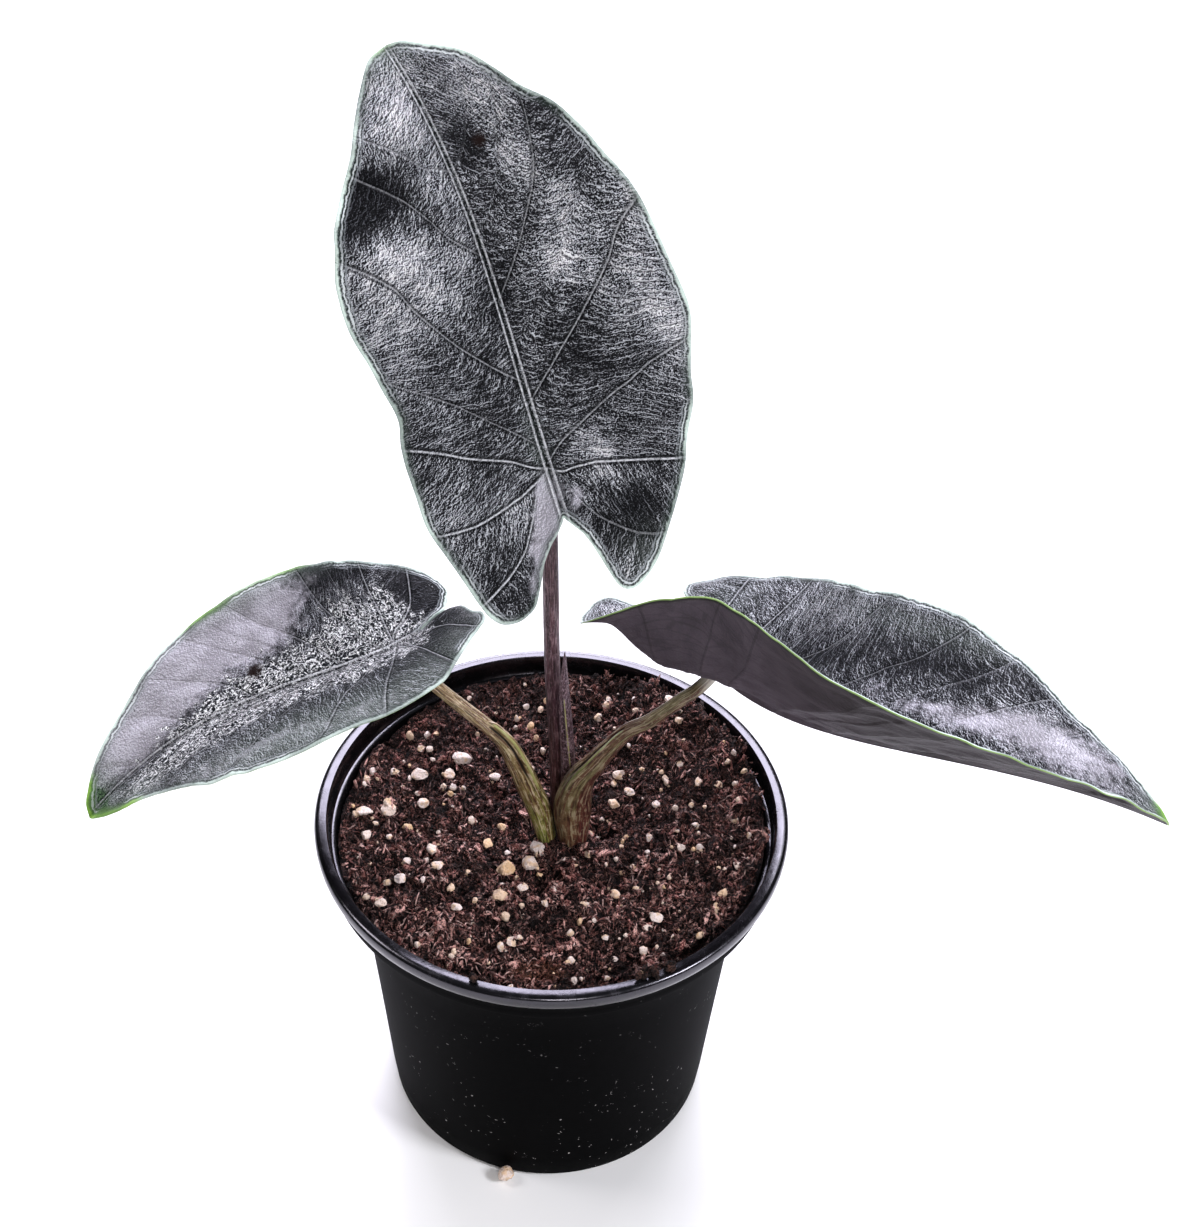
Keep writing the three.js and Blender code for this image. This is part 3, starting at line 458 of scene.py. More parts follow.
class Heap:
    """Small bodies gathered in one mesh, each with its own tone."""

    def __init__(self):
        self.points, self.faces, self.tones = [], [], []
        self.count = 0

    def add(self, points, faces, tone):
        self.faces += [[self.count + corner for corner in face] for face in faces]
        self.points.append(points)
        self.tones.append(np.full(len(points), tone))
        self.count += len(points)

    def piece(self, name, smooth_faces=True):
        tones = {"tone": np.concatenate(self.tones)}
        return mesh_object(name, np.concatenate(self.points), self.faces, tones, None, smooth_faces)


class Value:
    """Output of a node. Arithmetic with it adds math nodes."""

    def __init__(self, look, socket):
        self.look = look
        self.socket = socket

    def __add__(self, other):
        return self.look.math("ADD", self, other)

    def __sub__(self, other):
        return self.look.math("SUBTRACT", self, other)

    def __rsub__(self, other):
        return self.look.math("SUBTRACT", other, self)

    def __mul__(self, other):
        return self.look.math("MULTIPLY", self, other)

    def __truediv__(self, other):
        return self.look.math("DIVIDE", self, other)

    def __abs__(self):
        return self.look.math("ABSOLUTE", self)


class Looks:
    """A node material in the making, with short calls for the nodes that it needs."""

    def __init__(self, name):
        self.material = bpy.data.materials.new(name)
        self.material.use_nodes = True
        self.tree = self.material.node_tree
        self.shader = self.tree.nodes["Principled BSDF"]
        self.colour = None

    def put(self, socket, value):
        if isinstance(value, Value):
            self.tree.links.new(value.socket, socket)
        elif value is not None:
            socket.default_value = value

    def node(self, kind, output, inputs, **settings):
        """The output, by number or name, of a new node with the given inputs and settings."""
        made = self.tree.nodes.new(kind)
        for key, value in settings.items():
            setattr(made, key, value)
        for key, value in inputs.items():
            self.put(made.inputs[key], value)
        return Value(self, made.outputs[output])

    def math(self, operation, a, b=None):
        return self.node("ShaderNodeMath", 0, {0: a, 1: b}, operation=operation)

    def vector_math(self, operation, a, b):
        return self.node("ShaderNodeVectorMath", 0, {0: a, 1: b}, operation=operation)

    def fit(self, value, low, high, to_low=0.0, to_high=1.0):
        """Value from low to high turned smoothly into to_low to to_high."""
        inputs = {"Value": value, "From Min": low, "From Max": high, "To Min": to_low, "To Max": to_high}
        return self.node("ShaderNodeMapRange", 0, inputs, interpolation_type="SMOOTHSTEP")

    def line(self, distance, width):
        """1 on a line, 0 beyond width from it."""
        return self.fit(distance, width * 0.35, width, 1.0, 0.0)

    def band(self, value, middle, width):
        """1 where a value is near the middle, 0 beyond width from it."""
        return self.line(abs(value - middle), width)

    def mix(self, part, a, b):
        a, b = ((*value, 1) if isinstance(value, tuple) else value for value in (a, b))
        return self.node("ShaderNodeMix", 2, {0: part, 6: a, 7: b}, data_type="RGBA")

    def paint(self, part, new):
        """Covers the colour so far with a new one, by the given part."""
        self.colour = self.mix(part, self.colour, new)

    def axes(self, vector):
        first = self.node("ShaderNodeSeparateXYZ", 0, {0: vector})
        return [Value(self, output) for output in first.socket.node.outputs]

    def split(self, name):
        return self.axes(self.node("ShaderNodeAttribute", "Vector", {}, attribute_name=name))

    def value(self, name):
        return self.node("ShaderNodeAttribute", "Fac", {}, attribute_name=name)

    def join(self, x, y, z=0.0):
        return self.node("ShaderNodeCombineXYZ", 0, {0: x, 1: y, 2: z})

    def place(self):
        """The point in millimetres."""
        return self.vector_math("MULTIPLY", self.node("ShaderNodeTexCoord", "Object", {}), (1 / MM,) * 3)

    def noise(self, vector, scale, detail=2.0, roughness=0.5, distortion=0.0, output="Fac"):
        inputs = {"Vector": vector, "Scale": scale, "Detail": detail, "Roughness": roughness}
        return self.node("ShaderNodeTexNoise", output, {**inputs, "Distortion": distortion})

    def warp(self, vector, scale, amount):
        """The point pushed about by noise, so that round cells turn into bent ones."""
        push = self.noise(vector, scale, output="Color")
        return self.vector_math("ADD", vector, self.vector_math("MULTIPLY", push, (amount,) * 3))

    def cells(self, vector, scale, feature="F1"):
        inputs = {"Vector": vector, "Scale": scale}
        return self.node("ShaderNodeTexVoronoi", "Distance", inputs, feature=feature)

    def finish(self, relief=None, **values):
        """Sets the shader's colour, relief in millimetres, and sockets by name, with _ for each space."""
        if relief:
            inputs = {"Height": relief, "Strength": 1.0, "Distance": MM}
            values["Normal"] = self.node("ShaderNodeBump", "Normal", inputs)
        for key, value in {"Base_Color": self.colour, **values}.items():
            self.put(self.shader.inputs[key.replace("_", " ")], value)
        return self.material


def blade_upper():
    """Upper face of a blade: near-black and glossy, with silvery flecks and wrinkles between the veins.

    The flecks and wrinkles are painted highlights and painted shade, with painted sheen in zones.
    """
    look = Looks("blade_upper")
    fit, line, band, mix, noise, join = look.fit, look.line, look.band, look.mix, look.noise, look.join
    along, across, edge = look.split("flat")
    phase, gap, reach = look.split("veins")
    strength, margin, blemish = look.split("traits")
    satin, silver, green = look.split("zones")
    flat = join(along, across)

    share = look.math("FRACT", phase)
    track = reach - look.math("POWER", share, 1.4) * (gap * 0.95)
    lane = share * gap * 1.3
    bed = look.math("FLOOR", phase) * 3.7
    steps = track * 1.75
    fleck = noise(join(steps, lane, bed), 1.0, 3.0, 0.62, 1.0)
    grain = noise(flat, 1.7, 2.0, 0.6, 1.0)
    # Painted relief light: noise less the same noise moved a little, so one side of each fleck is lit, the
    # other in shade
    grain_relief_light = grain - noise(join(along + 0.2, across - 0.15), 1.7, 2.0, 0.6, 1.0)
    painted_relief_light = fleck - noise(join(steps + 0.42, lane, bed), 1.0, 3.0, 0.62, 1.0) + grain_relief_light * 0.7
    knob = noise(join(along * 0.7, across), 0.9, 1.5, 0.5, 1.2)
    blotch = noise(flat, 0.13, 3.0, 0.65) - 0.5
    sway = noise(flat, 0.2, 3.0, 0.6) - 0.5
    crinkle = noise(flat, 0.9, 1.0, 0.5) - 0.5
    turns = track * 2.2 + (sway * 7.0 + crinkle * 2.2)
    broken = noise(join(track * 0.6, phase * 3.0), 1.0, 3.0, 0.7)
    whole = fit(broken, 0.46, 0.56)
    # Wrinkle ridges: a painted highlight along one side of each and a painted shadow beside it
    ridge_highlight = fit(abs(look.math("SINE", turns)), 0.1, 0.38, 1.0, 0.0) * whole
    ridge_shadow = fit(abs(look.math("SINE", turns + 0.8)), 0.15, 0.6, 1.0, 0.0) * whole
    ragged = (noise(flat, 0.35, 4.0, 0.7) - 0.5) * 1.2
    satin = fit(satin + ragged * 1.3, 0.25, 0.95)
    # Scaly zones: thin bright lines of painted glint on a ground lit and shaded by painted relief light
    scaly = fit(look.value("scaly") + ragged * 2.2, 0.4, 0.62)
    glint_line = band(knob, 0.5, 0.09) * fit(grain, 0.4, 0.5, 0.1, 1.0)
    # How many painted highlights a spot gets; below, flecks lit as painted highlights or dark as painted
    # shade
    amount = look.math("MINIMUM", silver, 1.0) + 0.02 + blotch + (ragged * 0.8 + (broken - 0.5) * 1.6)
    low = fit(amount, -0.6, 1.1, 0.14, -0.07)
    light = fit(painted_relief_light, low, low + 0.05)
    hollow = fit(amount, -0.6, 1.1, 0.02, -0.1)
    dark = fit(painted_relief_light, hollow - 0.06, hollow, 1.0, 0.0)
    # A broad painted sheen where the painted highlights are many
    broad_sheen = fit(amount, 0.2, 1.0)
    plain = fit(amount, -0.6, 0.25)

    vein_gap = abs(phase - look.math("ROUND", phase)) * gap
    clear = fit(strength, 0.3, 1.4) * (satin * -0.92 + 1.0) * fit(grain, 0.38, 0.52, 0.35, 1.0)
    vein_line = line(vein_gap, 0.32) * clear
    vein_shade = band(vein_gap, 0.6, 0.45) * clear
    bare = 1.0 - line(vein_gap, 0.7) * fit(strength, 0.1, 0.8)
    rib_place = abs(across) / (along * -0.004 + 0.92)
    rib_lines = band(rib_place, 0.85, 0.42) * fit(grain, 0.4, 0.52, 0.35, 1.0)

    # Colours of the painted highlight and of the painted shade, paler where the highlights are many
    highlight_colour = mix(plain, (0.12, 0.125, 0.14), (0.62, 0.64, 0.68))
    highlight_colour = mix(broad_sheen, highlight_colour, (1.0, 0.99, 1.0))
    shade_colour = mix(broad_sheen, (0.004, 0.004, 0.005), (0.03, 0.03, 0.036))
    look.colour = mix(plain, (0.014, 0.015, 0.016), (0.04, 0.041, 0.045))
    # Painted sheen, then painted highlights and painted shade of the flecks and of the ridges
    look.paint(broad_sheen, (0.235, 0.235, 0.27))
    look.paint(light * 0.95, highlight_colour)
    look.paint(dark * 0.9, shade_colour)
    look.paint(ridge_shadow * 0.8, shade_colour)
    look.paint(ridge_highlight * 0.85, highlight_colour)
    # Scaly skin: painted glints on a ground of painted relief light
    between = mix(fit(grain_relief_light, -0.02, 0.04), (0.004, 0.005, 0.006), (0.055, 0.06, 0.066))
    look.paint(scaly, mix(glint_line, between, (0.98, 0.99, 1.0)))
    # Satin zones: lilac-grey painted sheen, lit and shaded by the grain's painted relief light
    soft = fit(noise(flat, 0.09, 3.0, 0.6), 0.36, 0.64, 0.1, 0.6) + grain_relief_light * 3.4
    look.paint(satin * (1.0 - scaly) * 0.88, mix(soft, (0.27, 0.26, 0.285), (0.6, 0.585, 0.65)))
    # Green skin is its own colour, lit and shaded here by the painted relief light
    green_relief_light = fit(painted_relief_light - fit(edge, 1.0, 12.0) * 0.1, -0.22, 0.16)
    look.paint(green * 0.7, mix(green_relief_light, (0.03, 0.044, 0.036), (0.44, 0.49, 0.46)))
    lush_green_lit = mix(fit(painted_relief_light, -0.1, 0.15), (0.01, 0.028, 0.012), (0.13, 0.25, 0.11))
    look.paint(fit(green, 0.9, 1.1) * 0.85, lush_green_lit)
    # Painted shade in the grooves beside the veins
    look.paint(vein_shade * 0.8, (0.004, 0.005, 0.005))
    look.paint(vein_line, mix(fit(strength, 1.0, 1.25), (0.26, 0.265, 0.275), (0.58, 0.59, 0.62)))
    # Painted shade beside the midrib, its pale lines, then painted shade in its middle groove
    look.paint(band(rib_place, 1.55, 0.5) * 0.45, (0.006, 0.007, 0.007))
    look.paint(rib_lines * 0.95, (0.74, 0.75, 0.78))
    look.paint(line(rib_place, 0.3) * fit(grain, 0.42, 0.5, 0.35, 1.0) * 0.9, (0.012, 0.017, 0.014))

    rim = edge / margin + (noise(flat, 0.45, 3.0, 0.7) - 0.5) * 1.6
    patchy = fit(noise(flat, 0.055, 2.0), 0.38, 0.6)
    verge = line(rim, 2.6)
    look.paint(verge * 0.6, (0.02, 0.032, 0.024))
    look.paint(verge * fit(green, 0.55, 1.0) * 0.85, (0.12, 0.22, 0.075))
    look.paint(line(rim, 0.85) * (patchy * 0.6 + 0.4),
               mix(fit(green, 0.5, 1.0), (0.6, 0.7, 0.64), (0.28, 0.5, 0.09)))
    look.paint(band(rim, 1.3, 0.28) * (patchy * 0.9), (0.66, 0.7, 0.71))
    look.paint(band(rim, 2.05, 0.3) * (patchy * 0.6), (0.4, 0.43, 0.45))
    look.paint(blemish, (0.02, 0.011, 0.009))

    calm = fit(edge, 0.3, 3.0, 0.25, 1.0) * (satin * -0.75 + 1.0)
    relief = ridge_highlight * 0.2 + (fleck + grain) * 0.6 + glint_line * scaly * 0.15
    relief = relief * (calm * bare) + vein_line * 0.25 + rib_lines * 0.25
    rough = satin * 0.2 + 0.25 + line(rim, 1.2) * 0.15
    return look.finish(relief, Roughness=rough, IOR=1.2, Specular_IOR_Level=0.5,
                       Specular_Tint=(0.92, 0.9, 1.0, 1))


def blade_under():
    """Underside of a blade: matt purple-grey with darker veins and a green edge."""
    look = Looks("blade_under")
    fit, line = look.fit, look.line
    along, across, edge = look.split("flat")
    phase, gap, reach = look.split("veins")
    strength, margin, _ = look.split("traits")
    place = look.join(along, across)
    fine = look.noise(place, 1.6, 3.0, 0.65)
    vein_line = line(abs(phase - look.math("ROUND", phase)) * gap, 0.6) * fit(strength, 0.1, 0.7)
    net = look.cells(look.join(reach * 0.4, phase * 1.2), 1.0, "DISTANCE_TO_EDGE")
    rim = edge / margin
    cloud = fit(look.noise(place, 0.12, 3.0, 0.6), 0.25, 0.75)
    look.colour = look.mix(cloud, (0.056, 0.045, 0.055), (0.098, 0.08, 0.096))
    look.paint(fit(fine, 0.5, 0.75) * 0.4, (0.1, 0.082, 0.098))
    look.paint(line(net, 0.07) * 0.25, (0.018, 0.013, 0.015))
    look.paint(vein_line * 0.35, (0.016, 0.012, 0.013))
    look.paint(fit(along, 20.0, 62.0, 0.0, 0.92), (0.012, 0.008, 0.008))
    look.paint(line(rim, 1.0), (0.016, 0.018, 0.012))
    look.paint(line(rim, 0.3), (0.26, 0.38, 0.14))
    return look.finish(fine * 0.25 + vein_line * 0.12, Roughness=0.62, Specular_IOR_Level=0.35,
                       Sheen_Weight=0.08, Sheen_Roughness=0.4, Sheen_Tint=(0.9, 0.8, 0.95, 1))


def half_rows(leaf, side):
    """Margin, vein ends and vein curves of one half, in flat millimetres."""
    half = leaf["right"] if side > 0 else leaf["left"]
    scale = leaf["length"] / OUTLINE_LENGTH
    size = np.array([scale, scale * leaf["breadth"]])
    margin, marks = even_points(np.array(half["outline"]) * size, 1600, 0.5)
    parts = (1 - COLUMN_CROWDING * np.cos(np.linspace(0, 1, COLUMNS) * 2 * math.pi)).cumsum()
    parts = (parts - parts[0]) / (parts[-1] - parts[0])
    ends, curves = [0.0], [np.repeat(margin[:1], COLUMNS, 0)]
    for _, points in half["veins"]:
        points = np.array(points, float) * size
        nearest = np.argmin(np.linalg.norm(margin - points[-1], axis=1))
        points[-1] = margin[nearest]
        ends.append(marks[nearest])
        curves.append(along_points(points, parts))
    ends.append(marks[-1])
    curves.append(parts[:, None] * margin[-1])
    strengths = np.array([0, *(strength for strength, _ in half["veins"]), 0])
    return {"margin": margin, "marks": marks, "ends": np.array(ends), "curves": np.array(curves),
            "strengths": strengths, "parts": parts}


def flat_grid(rows, phases):
    """Flat places and traits of the rows at the given phases, a phase being 1, 2, ... on the veins."""
    first = np.clip(np.floor(phases).astype(int), 0, VEIN_COUNT)
    w = (phases - first)[:, None, None]
    a, b = rows["curves"][first], rows["curves"][first + 1]
    mark = rows["ends"][first] * (1 - w[:, 0, 0]) + rows["ends"][first + 1] * w[:, 0, 0]
    edge = np.stack([np.interp(mark, rows["marks"], rows["margin"][:, k]) for k in (0, 1)], 1)
    lerp = a * (1 - w) + b * w
    flat = lerp + (edge[:, None] - lerp[:, -1:]) * (rows["parts"] ** 2)[None, :, None]
    flat[:, 0, 1] = 0
    gap = np.linalg.norm(a - b, axis=2)
    steps = np.linalg.norm(np.diff(flat, axis=1), axis=2)
    reach = np.concatenate([np.zeros((len(phases), 1)), np.cumsum(steps, 1)], 1)
    nearest = np.clip(np.round(phases).astype(int), 0, VEIN_COUNT + 1)
    strength = rows["strengths"][nearest]
    return flat, gap, reach, strength


def row_phases(leaf):
    """Phases of the rows of the right and the left half, whose roots meet on the midrib."""
    halves = [half_rows(leaf, side) for side in (1, -1)]
    roots = [np.array(rows["curves"][:, 0, 0]) for rows in halves]
    last = [int(np.argmax(root <= 1e-6)) for root in roots]
    places = np.linspace(leaf["length"], 0, 4000)
    phases = []
    for rows, root, end in zip(halves, roots, last):
        phases.append(np.interp(-places, -root[:end + 1], np.arange(end + 1)))
    marks = [np.interp(phase, np.arange(VEIN_COUNT + 2), rows["ends"]) for phase, rows in zip(phases, halves)]
    mean = (marks[0] + marks[1]) / 2
    even = np.interp(np.linspace(0, mean[-1], int(mean[-1] / ROW_PITCH)), mean, np.arange(len(places)))
    result = []
    for rows, phase, end in zip(halves, phases, last):
        blade = np.interp(even, np.arange(len(places)), phase)
        length = rows["ends"][-1] - rows["ends"][end]
        lobe_marks = np.linspace(rows["ends"][end], rows["ends"][-1], int(length / ROW_PITCH))[1:]
        lobe = np.interp(lobe_marks, rows["ends"], np.arange(VEIN_COUNT + 2))
        result.append((rows, np.concatenate([blade, lobe])))
    return result


def bend(leaf, side, along, across):
    """Places and upward normals of flat points on the bent blade."""
    u = along / leaf["length"]
    p0, p1, p2, p3 = np.array(leaf["midrib"], float)
    v = np.maximum(u, 0)[..., None]
    point = (1 - v)**3 * p0 + 3 * (1 - v)**2 * v * p1 + 3 * (1 - v) * v**2 * p2 + v**3 * p3
    point = point + 3 * np.minimum(u, 0)[..., None] * (p1 - p0)
    tangent = (1 - v)**2 * (p1 - p0) + 2 * (1 - v) * v * (p2 - p1) + v**2 * (p3 - p2)
    tangent /= np.linalg.norm(tangent, axis=-1, keepdims=True)
    turn, lean = math.radians(leaf["turn"]), np.radians(smooth(u, STATIONS, leaf["lean"]))
    up = np.stack([np.full_like(u, math.sin(turn)), -math.cos(turn) * np.sin(lean),
                   math.cos(turn) * np.cos(lean)], -1)
    up = up - (up * tangent).sum(-1, keepdims=True) * tangent
    up /= np.linalg.norm(up, axis=-1, keepdims=True)
    right = np.cross(tangent, up)
    half = leaf["right"] if side > 0 else leaf["left"]
    fold = np.radians(smooth(u, STATIONS, half["fold"]))
    curl = np.radians(smooth(u, STATIONS, half["curl"]))
    turned = curl * across / 2
    chord = across * np.sinc(turned / math.pi)
    point = point + right * (side * chord * np.cos(fold + turned))[..., None]
    point = point + up * (chord * np.sin(fold + turned))[..., None]
    for centre, middle, reach, breadth, height in leaf["swells"]:
        x, y = (along - centre) / reach, (side * across - middle) / breadth
        point = point + up * (height * np.exp(-x * x - y * y))[..., None]
    tilt = (fold + 2 * turned) * np.minimum(1, across / CREASE_WIDTH)
    normal = right * (-side * np.sin(tilt))[..., None] + up * np.cos(tilt)[..., None]
    return point, normal


def blade_relief(leaf, side, flat, phases, gap, strength, edge):
    """Height of the blade's swellings, veins and wrinkles over its plain bent shape."""
    along, across = flat[..., 0], flat[..., 1]
    offset = np.abs(phases - np.round(phases))[:, None] * gap
    quilt = QUILT["height"] * np.minimum(1, gap / 14) * (1 - np.exp(-(offset / QUILT["width"])**2))
    quilt *= np.minimum(1, strength)[:, None]
    thread = 0.11 * strength[:, None] * np.exp(-(offset / 0.4)**2)
    calm = step(edge, 0.3, 5) * step(across, 0.2, 3)
    x, y = along, side * across
    swell = sum(height * np.exp(-((x - s)**2 + (y - t)**2) / radius**2)
                for s, t, radius, height in leaf["dimples"])
    waves = 0.5 * layered_noise(x / 11, y / 11, leaf["seed"])
    ripple = 0.13 * layered_noise(phases[:, None] * 2.2, across / 1.5, leaf["seed"] + 5, 2)
    frill = 0.5 * lattice_noise(x / 6, y / 6, leaf["seed"] + 9) * (1 - step(edge, 0, 6))
    ribs = 0.2 * np.exp(-((across - 0.85) / 0.4)**2) - 0.25 * np.exp(-(across / 0.45)**2)
    taper = np.clip(1 - along / leaf["length"], 0, 1) ** 0.5
    wide = step(across, 0, CREASE_WIDTH) * (swell + waves + frill)
    return calm * (quilt + ripple) + thread * step(edge, 0, 2) + wide + ribs * taper


def squeeze(place, flat):
    """How close rows of the bent blade lie compared with the flat one, at most 1."""
    bent = np.linalg.norm(np.diff(place, axis=0), axis=2)
    level = np.maximum(np.linalg.norm(np.diff(flat, axis=0), axis=2), 1e-4)
    ratio = np.clip(bent / level, 0, 1)
    return np.concatenate([ratio[:1], (ratio[1:] + ratio[:-1]) / 2, ratio[-1:]])


def leaf_zone(spots, along, across):
    """Strength of a quality of the surface, from soft ovals."""
    total = sum(part * np.exp(-((along - s) / rs)**2 - ((across - t) / rt)**2)
                for s, t, rs, rt, part in spots)
    return np.clip(total + np.zeros_like(along), -1, 1.5)


def both_faces(*grids):
    """Values of each point of a blade in one row, from grids of its upper face."""
    grids = np.broadcast_arrays(*grids)
    return columns(*(np.concatenate([grid, grid[:, -1:], grid[:, ::-1]], 1) for grid in grids))


def leaf_blade(name, leaf):
    """One blade: upper face, underside with its rib, and a rounded edge between them."""
    points, faces, slots, count = [], [], [], 0
    values = {key: [] for key in ("flat", "veins", "traits", "zones", "scaly")}
    half = BLADE_THICKNESS / 2
    for side, (rows, phases) in zip((1, -1), row_phases(leaf)):
        flat, gap, reach, strength = flat_grid(rows, phases)
        edge = np.stack([np.linalg.norm(rows["margin"][None] - row[:, None], axis=2).min(1) for row in flat])
        along, across = flat[..., 0], flat[..., 1]
        place, normal = bend(leaf, side, along, across)
        relief = blade_relief(leaf, side, flat, phases, gap, strength, edge) * squeeze(place, flat)
        rib = RIB["depth"] * np.clip(1 - along / leaf["length"], 0, 1) * np.exp(-(across / RIB["width"])**2)
        top = place + normal * (relief + half)[..., None]
        low = place + normal * (relief - half - rib)[..., None]
        outward = top[:, -1] - top[:, -2]
        outward /= np.maximum(np.linalg.norm(outward, axis=1, keepdims=True), 1e-9)
        rim = (top[:, -1] + low[:, -1]) / 2 + outward * half * 0.8
        sheet = np.concatenate([top, rim[:, None], low[:, ::-1]], 1)
        y = side * across
        ragged = 1.6 + 0.5 * lattice_noise(along, y, SEEDS["blemishes"])
        spots = sum((np.clip(ragged - 1.3 * np.hypot(along - s, y - t) / r, 0, 1)
                     for s, t, r in leaf["blemishes"]), 0 * along)
        # Zones of painted sheen, painted scale glints, painted silvery highlights and green skin
        zones = {key: leaf_zone(ovals, along, y) for key, ovals in leaf["zones"].items()}
        values["flat"].append(both_faces(along, y, edge))
        values["veins"].append(both_faces(phases[:, None], gap, reach))
        values["traits"].append(both_faces(strength[:, None], leaf["margin"], spots))
        values["zones"].append(both_faces(zones["satin"], zones["silver"], zones["green"]))
        values["scaly"].append(both_faces(zones.get("scaly", 0 * along))[:, 0])
        index = count + np.arange(sheet[..., 0].size).reshape(sheet.shape[:2])
        a, b, c, d = index[:-1, :-1], index[1:, :-1], index[1:, 1:], index[:-1, 1:]
        faces.append(np.stack([a, b, c, d] if side > 0 else [d, c, b, a], -1).reshape(-1, 4))
        slots.append(np.broadcast_to((np.arange(a.shape[1]) >= COLUMNS).astype(int), a.shape).ravel())
        points.append(sheet.reshape(-1, 3))
        count += index.size
    values = {key: np.concatenate(parts) for key, parts in values.items()}
    return merged_object(name, np.concatenate(points), np.concatenate(faces), np.concatenate(slots), values)


def merged_object(name, points, faces, slots, values):
    """Mesh object with points at the same place joined and faces without area left out."""
    _, first, where = np.unique(np.round(points, 4), axis=0, return_index=True, return_inverse=True)
    faces = where.reshape(-1)[faces]
    kept, kept_slots = [], []
    for face, slot in zip(faces.tolist(), slots.tolist()):
        corners = list(dict.fromkeys(face))
        if len(corners) > 2:
            kept.append(corners)
            kept_slots.append(slot)
    values = {key: value[first] for key, value in values.items()}
    return mesh_object(name, points[first], kept, values, kept_slots)


def make_leaves():
    materials = [blade_upper(), blade_under()]
    for side, leaf in LEAVES.items():
        settle(leaf_blade(f"{side}_leaf", leaf), [f"leaf_blade_{side}"], materials)


def stem_look(name, foot, body, streak, bloom, lip, blush, top=None, spots=0.0):
    """Fleshy stem: foot and body colour, dark streaks, pale bloom, sheath lips, painted slit shade, spots.

    blush is the place round the stem that is streaked most. top is the colour under the blade.
    """
    look = Looks(name)
    fit, paint = look.fit, look.paint
    round_, along, part = look.split("stem")

    def drawn(round_scale, along_scale, *shape):
        return look.noise(look.join(round_ * round_scale, along * along_scale), 1.0, *shape)

    streaks = drawn(1.3, 0.035, 3.0, 0.6)
    grain = drawn(2.6, 0.22, 2.0, 0.6)
    dots = drawn(1.2, 1.1, 2.0, 0.7)
    look.colour = look.mix(fit(part, 0.1, 0.42) + fit(drawn(0.4, 0.12), 0.4, 0.7, -0.2, 0.3), foot, body)
    paint(fit(streaks, 0.48, 0.56) * 0.7, streak)
    paint(fit(abs(round_ - blush + streaks * 2.0), 0.6, 2.4, 0.85, 0.0), streak)
    paint(fit(grain, 0.52, 0.62) * 0.6, bloom)
    paint(fit(grain, 0.38, 0.47, 1.0, 0.0) * 0.6, (0.02, 0.01, 0.008))
    paint(fit(dots, 0.56, 0.66) * 0.35, bloom)
    slit_mask, lips, _ = look.split("sheath")
    paint(fit(lips, 0.4, 0.9) * 0.8, lip)
    # Painted shade in the sheath's slit
    paint(fit(slit_mask, 0.25, 0.7) * 0.92, (0.01, 0.005, 0.004))
    if top:
        paint(fit(part, 0.9, 0.97, 0.0, 0.8), top)
    if spots:
        paint(fit(dots, 0.5, 0.6) * spots, (0.45, 0.33, 0.38))
    return look.finish(streaks * 0.3 + grain * 0.35, Roughness=0.36, Specular_IOR_Level=0.55,
                       Subsurface_Weight=0.06, Subsurface_Radius=(0.004, 0.002, 0.001))


def stem(name, data, end):
    """A stem as rings round its centre line, with the wing and slit of its sheath and fine ribs."""
    line, wing = data["line"], data["wing"]
    centre, marks = even_points([(*line[0][:2], STEM_FOOT), *line, *end], STEM_RINGS, 0.5)
    tangent = np.gradient(centre, axis=0)
    tangent /= np.linalg.norm(tangent, axis=1, keepdims=True)
    side = np.cross((0, 1, 0), tangent)
    side /= np.linalg.norm(side, axis=1, keepdims=True)
    depth = np.cross(tangent, side)
    marks = marks[:, None]
    part = marks / marks[-1]
    steps = np.linspace(0, 1, len(data["half_width"]))
    wide, deep = (smooth(part[:, 0], steps, data[key])[:, None] for key in ("half_width", "half_depth"))
    angle = circle(STEM_SIDES)[None]
    first, last = wing["turn"]
    turn = np.radians(first + (last - first) * part / wing["end"])
    off = (angle - turn + math.pi) % (2 * math.pi) - math.pi
    share = (1 - step(part, wing["end"] - 0.025, wing["end"])) * step(part, 0.1, 0.3)
    share = share * (0.55 + 0.6 * part / wing["end"])
    lip = wing["height"] * share * np.exp(-((off - 0.3) / 0.36)**2)
    slit_mask = share * step(part / wing["end"], 0.5, 0.72) * np.exp(-((off + 0.26) / 0.15)**2)
    lips = share * step(part / wing["end"], 0.45, 0.6) * np.exp(-((off - 0.12) / 0.12)**2)
    taper = 1 - 0.55 * step(part, 0.96, 1)
    ribs = 0.035 * np.cos(angle * 11) + 0.02 * np.cos(angle * 17 + 1)
    bulk = lip - 0.7 * wing["height"] * slit_mask + ribs * np.minimum(1, wide / 1.5)
    ring = centre[:, None] + side[:, None] * ((wide + bulk) * taper * np.cos(angle))[..., None]
    ring = ring + depth[:, None] * ((deep + bulk) * taper * np.sin(angle))[..., None]
    values = {"stem": columns(angle * 2.5, marks, part), "sheath": columns(slit_mask, lips, 0 * slit_mask)}
    return mesh_object(name, ring.reshape(-1, 3), tube_faces(STEM_RINGS, STEM_SIDES), values)


def make_stems():
    for node, data in STEMS.items():
        end = []
        if node != "new_shoot":
            leaf = LEAVES[node.removeprefix("petiole_")]
            place, normal = bend(leaf, 1, np.array([0.0]), np.array([0.0]))
            end = [place[0] - normal[0] * (BLADE_THICKNESS / 2 + RIB["depth"] * 0.4)]
        settle(stem(data["piece"], data, end), [node], [stem_look(*data["look"])])


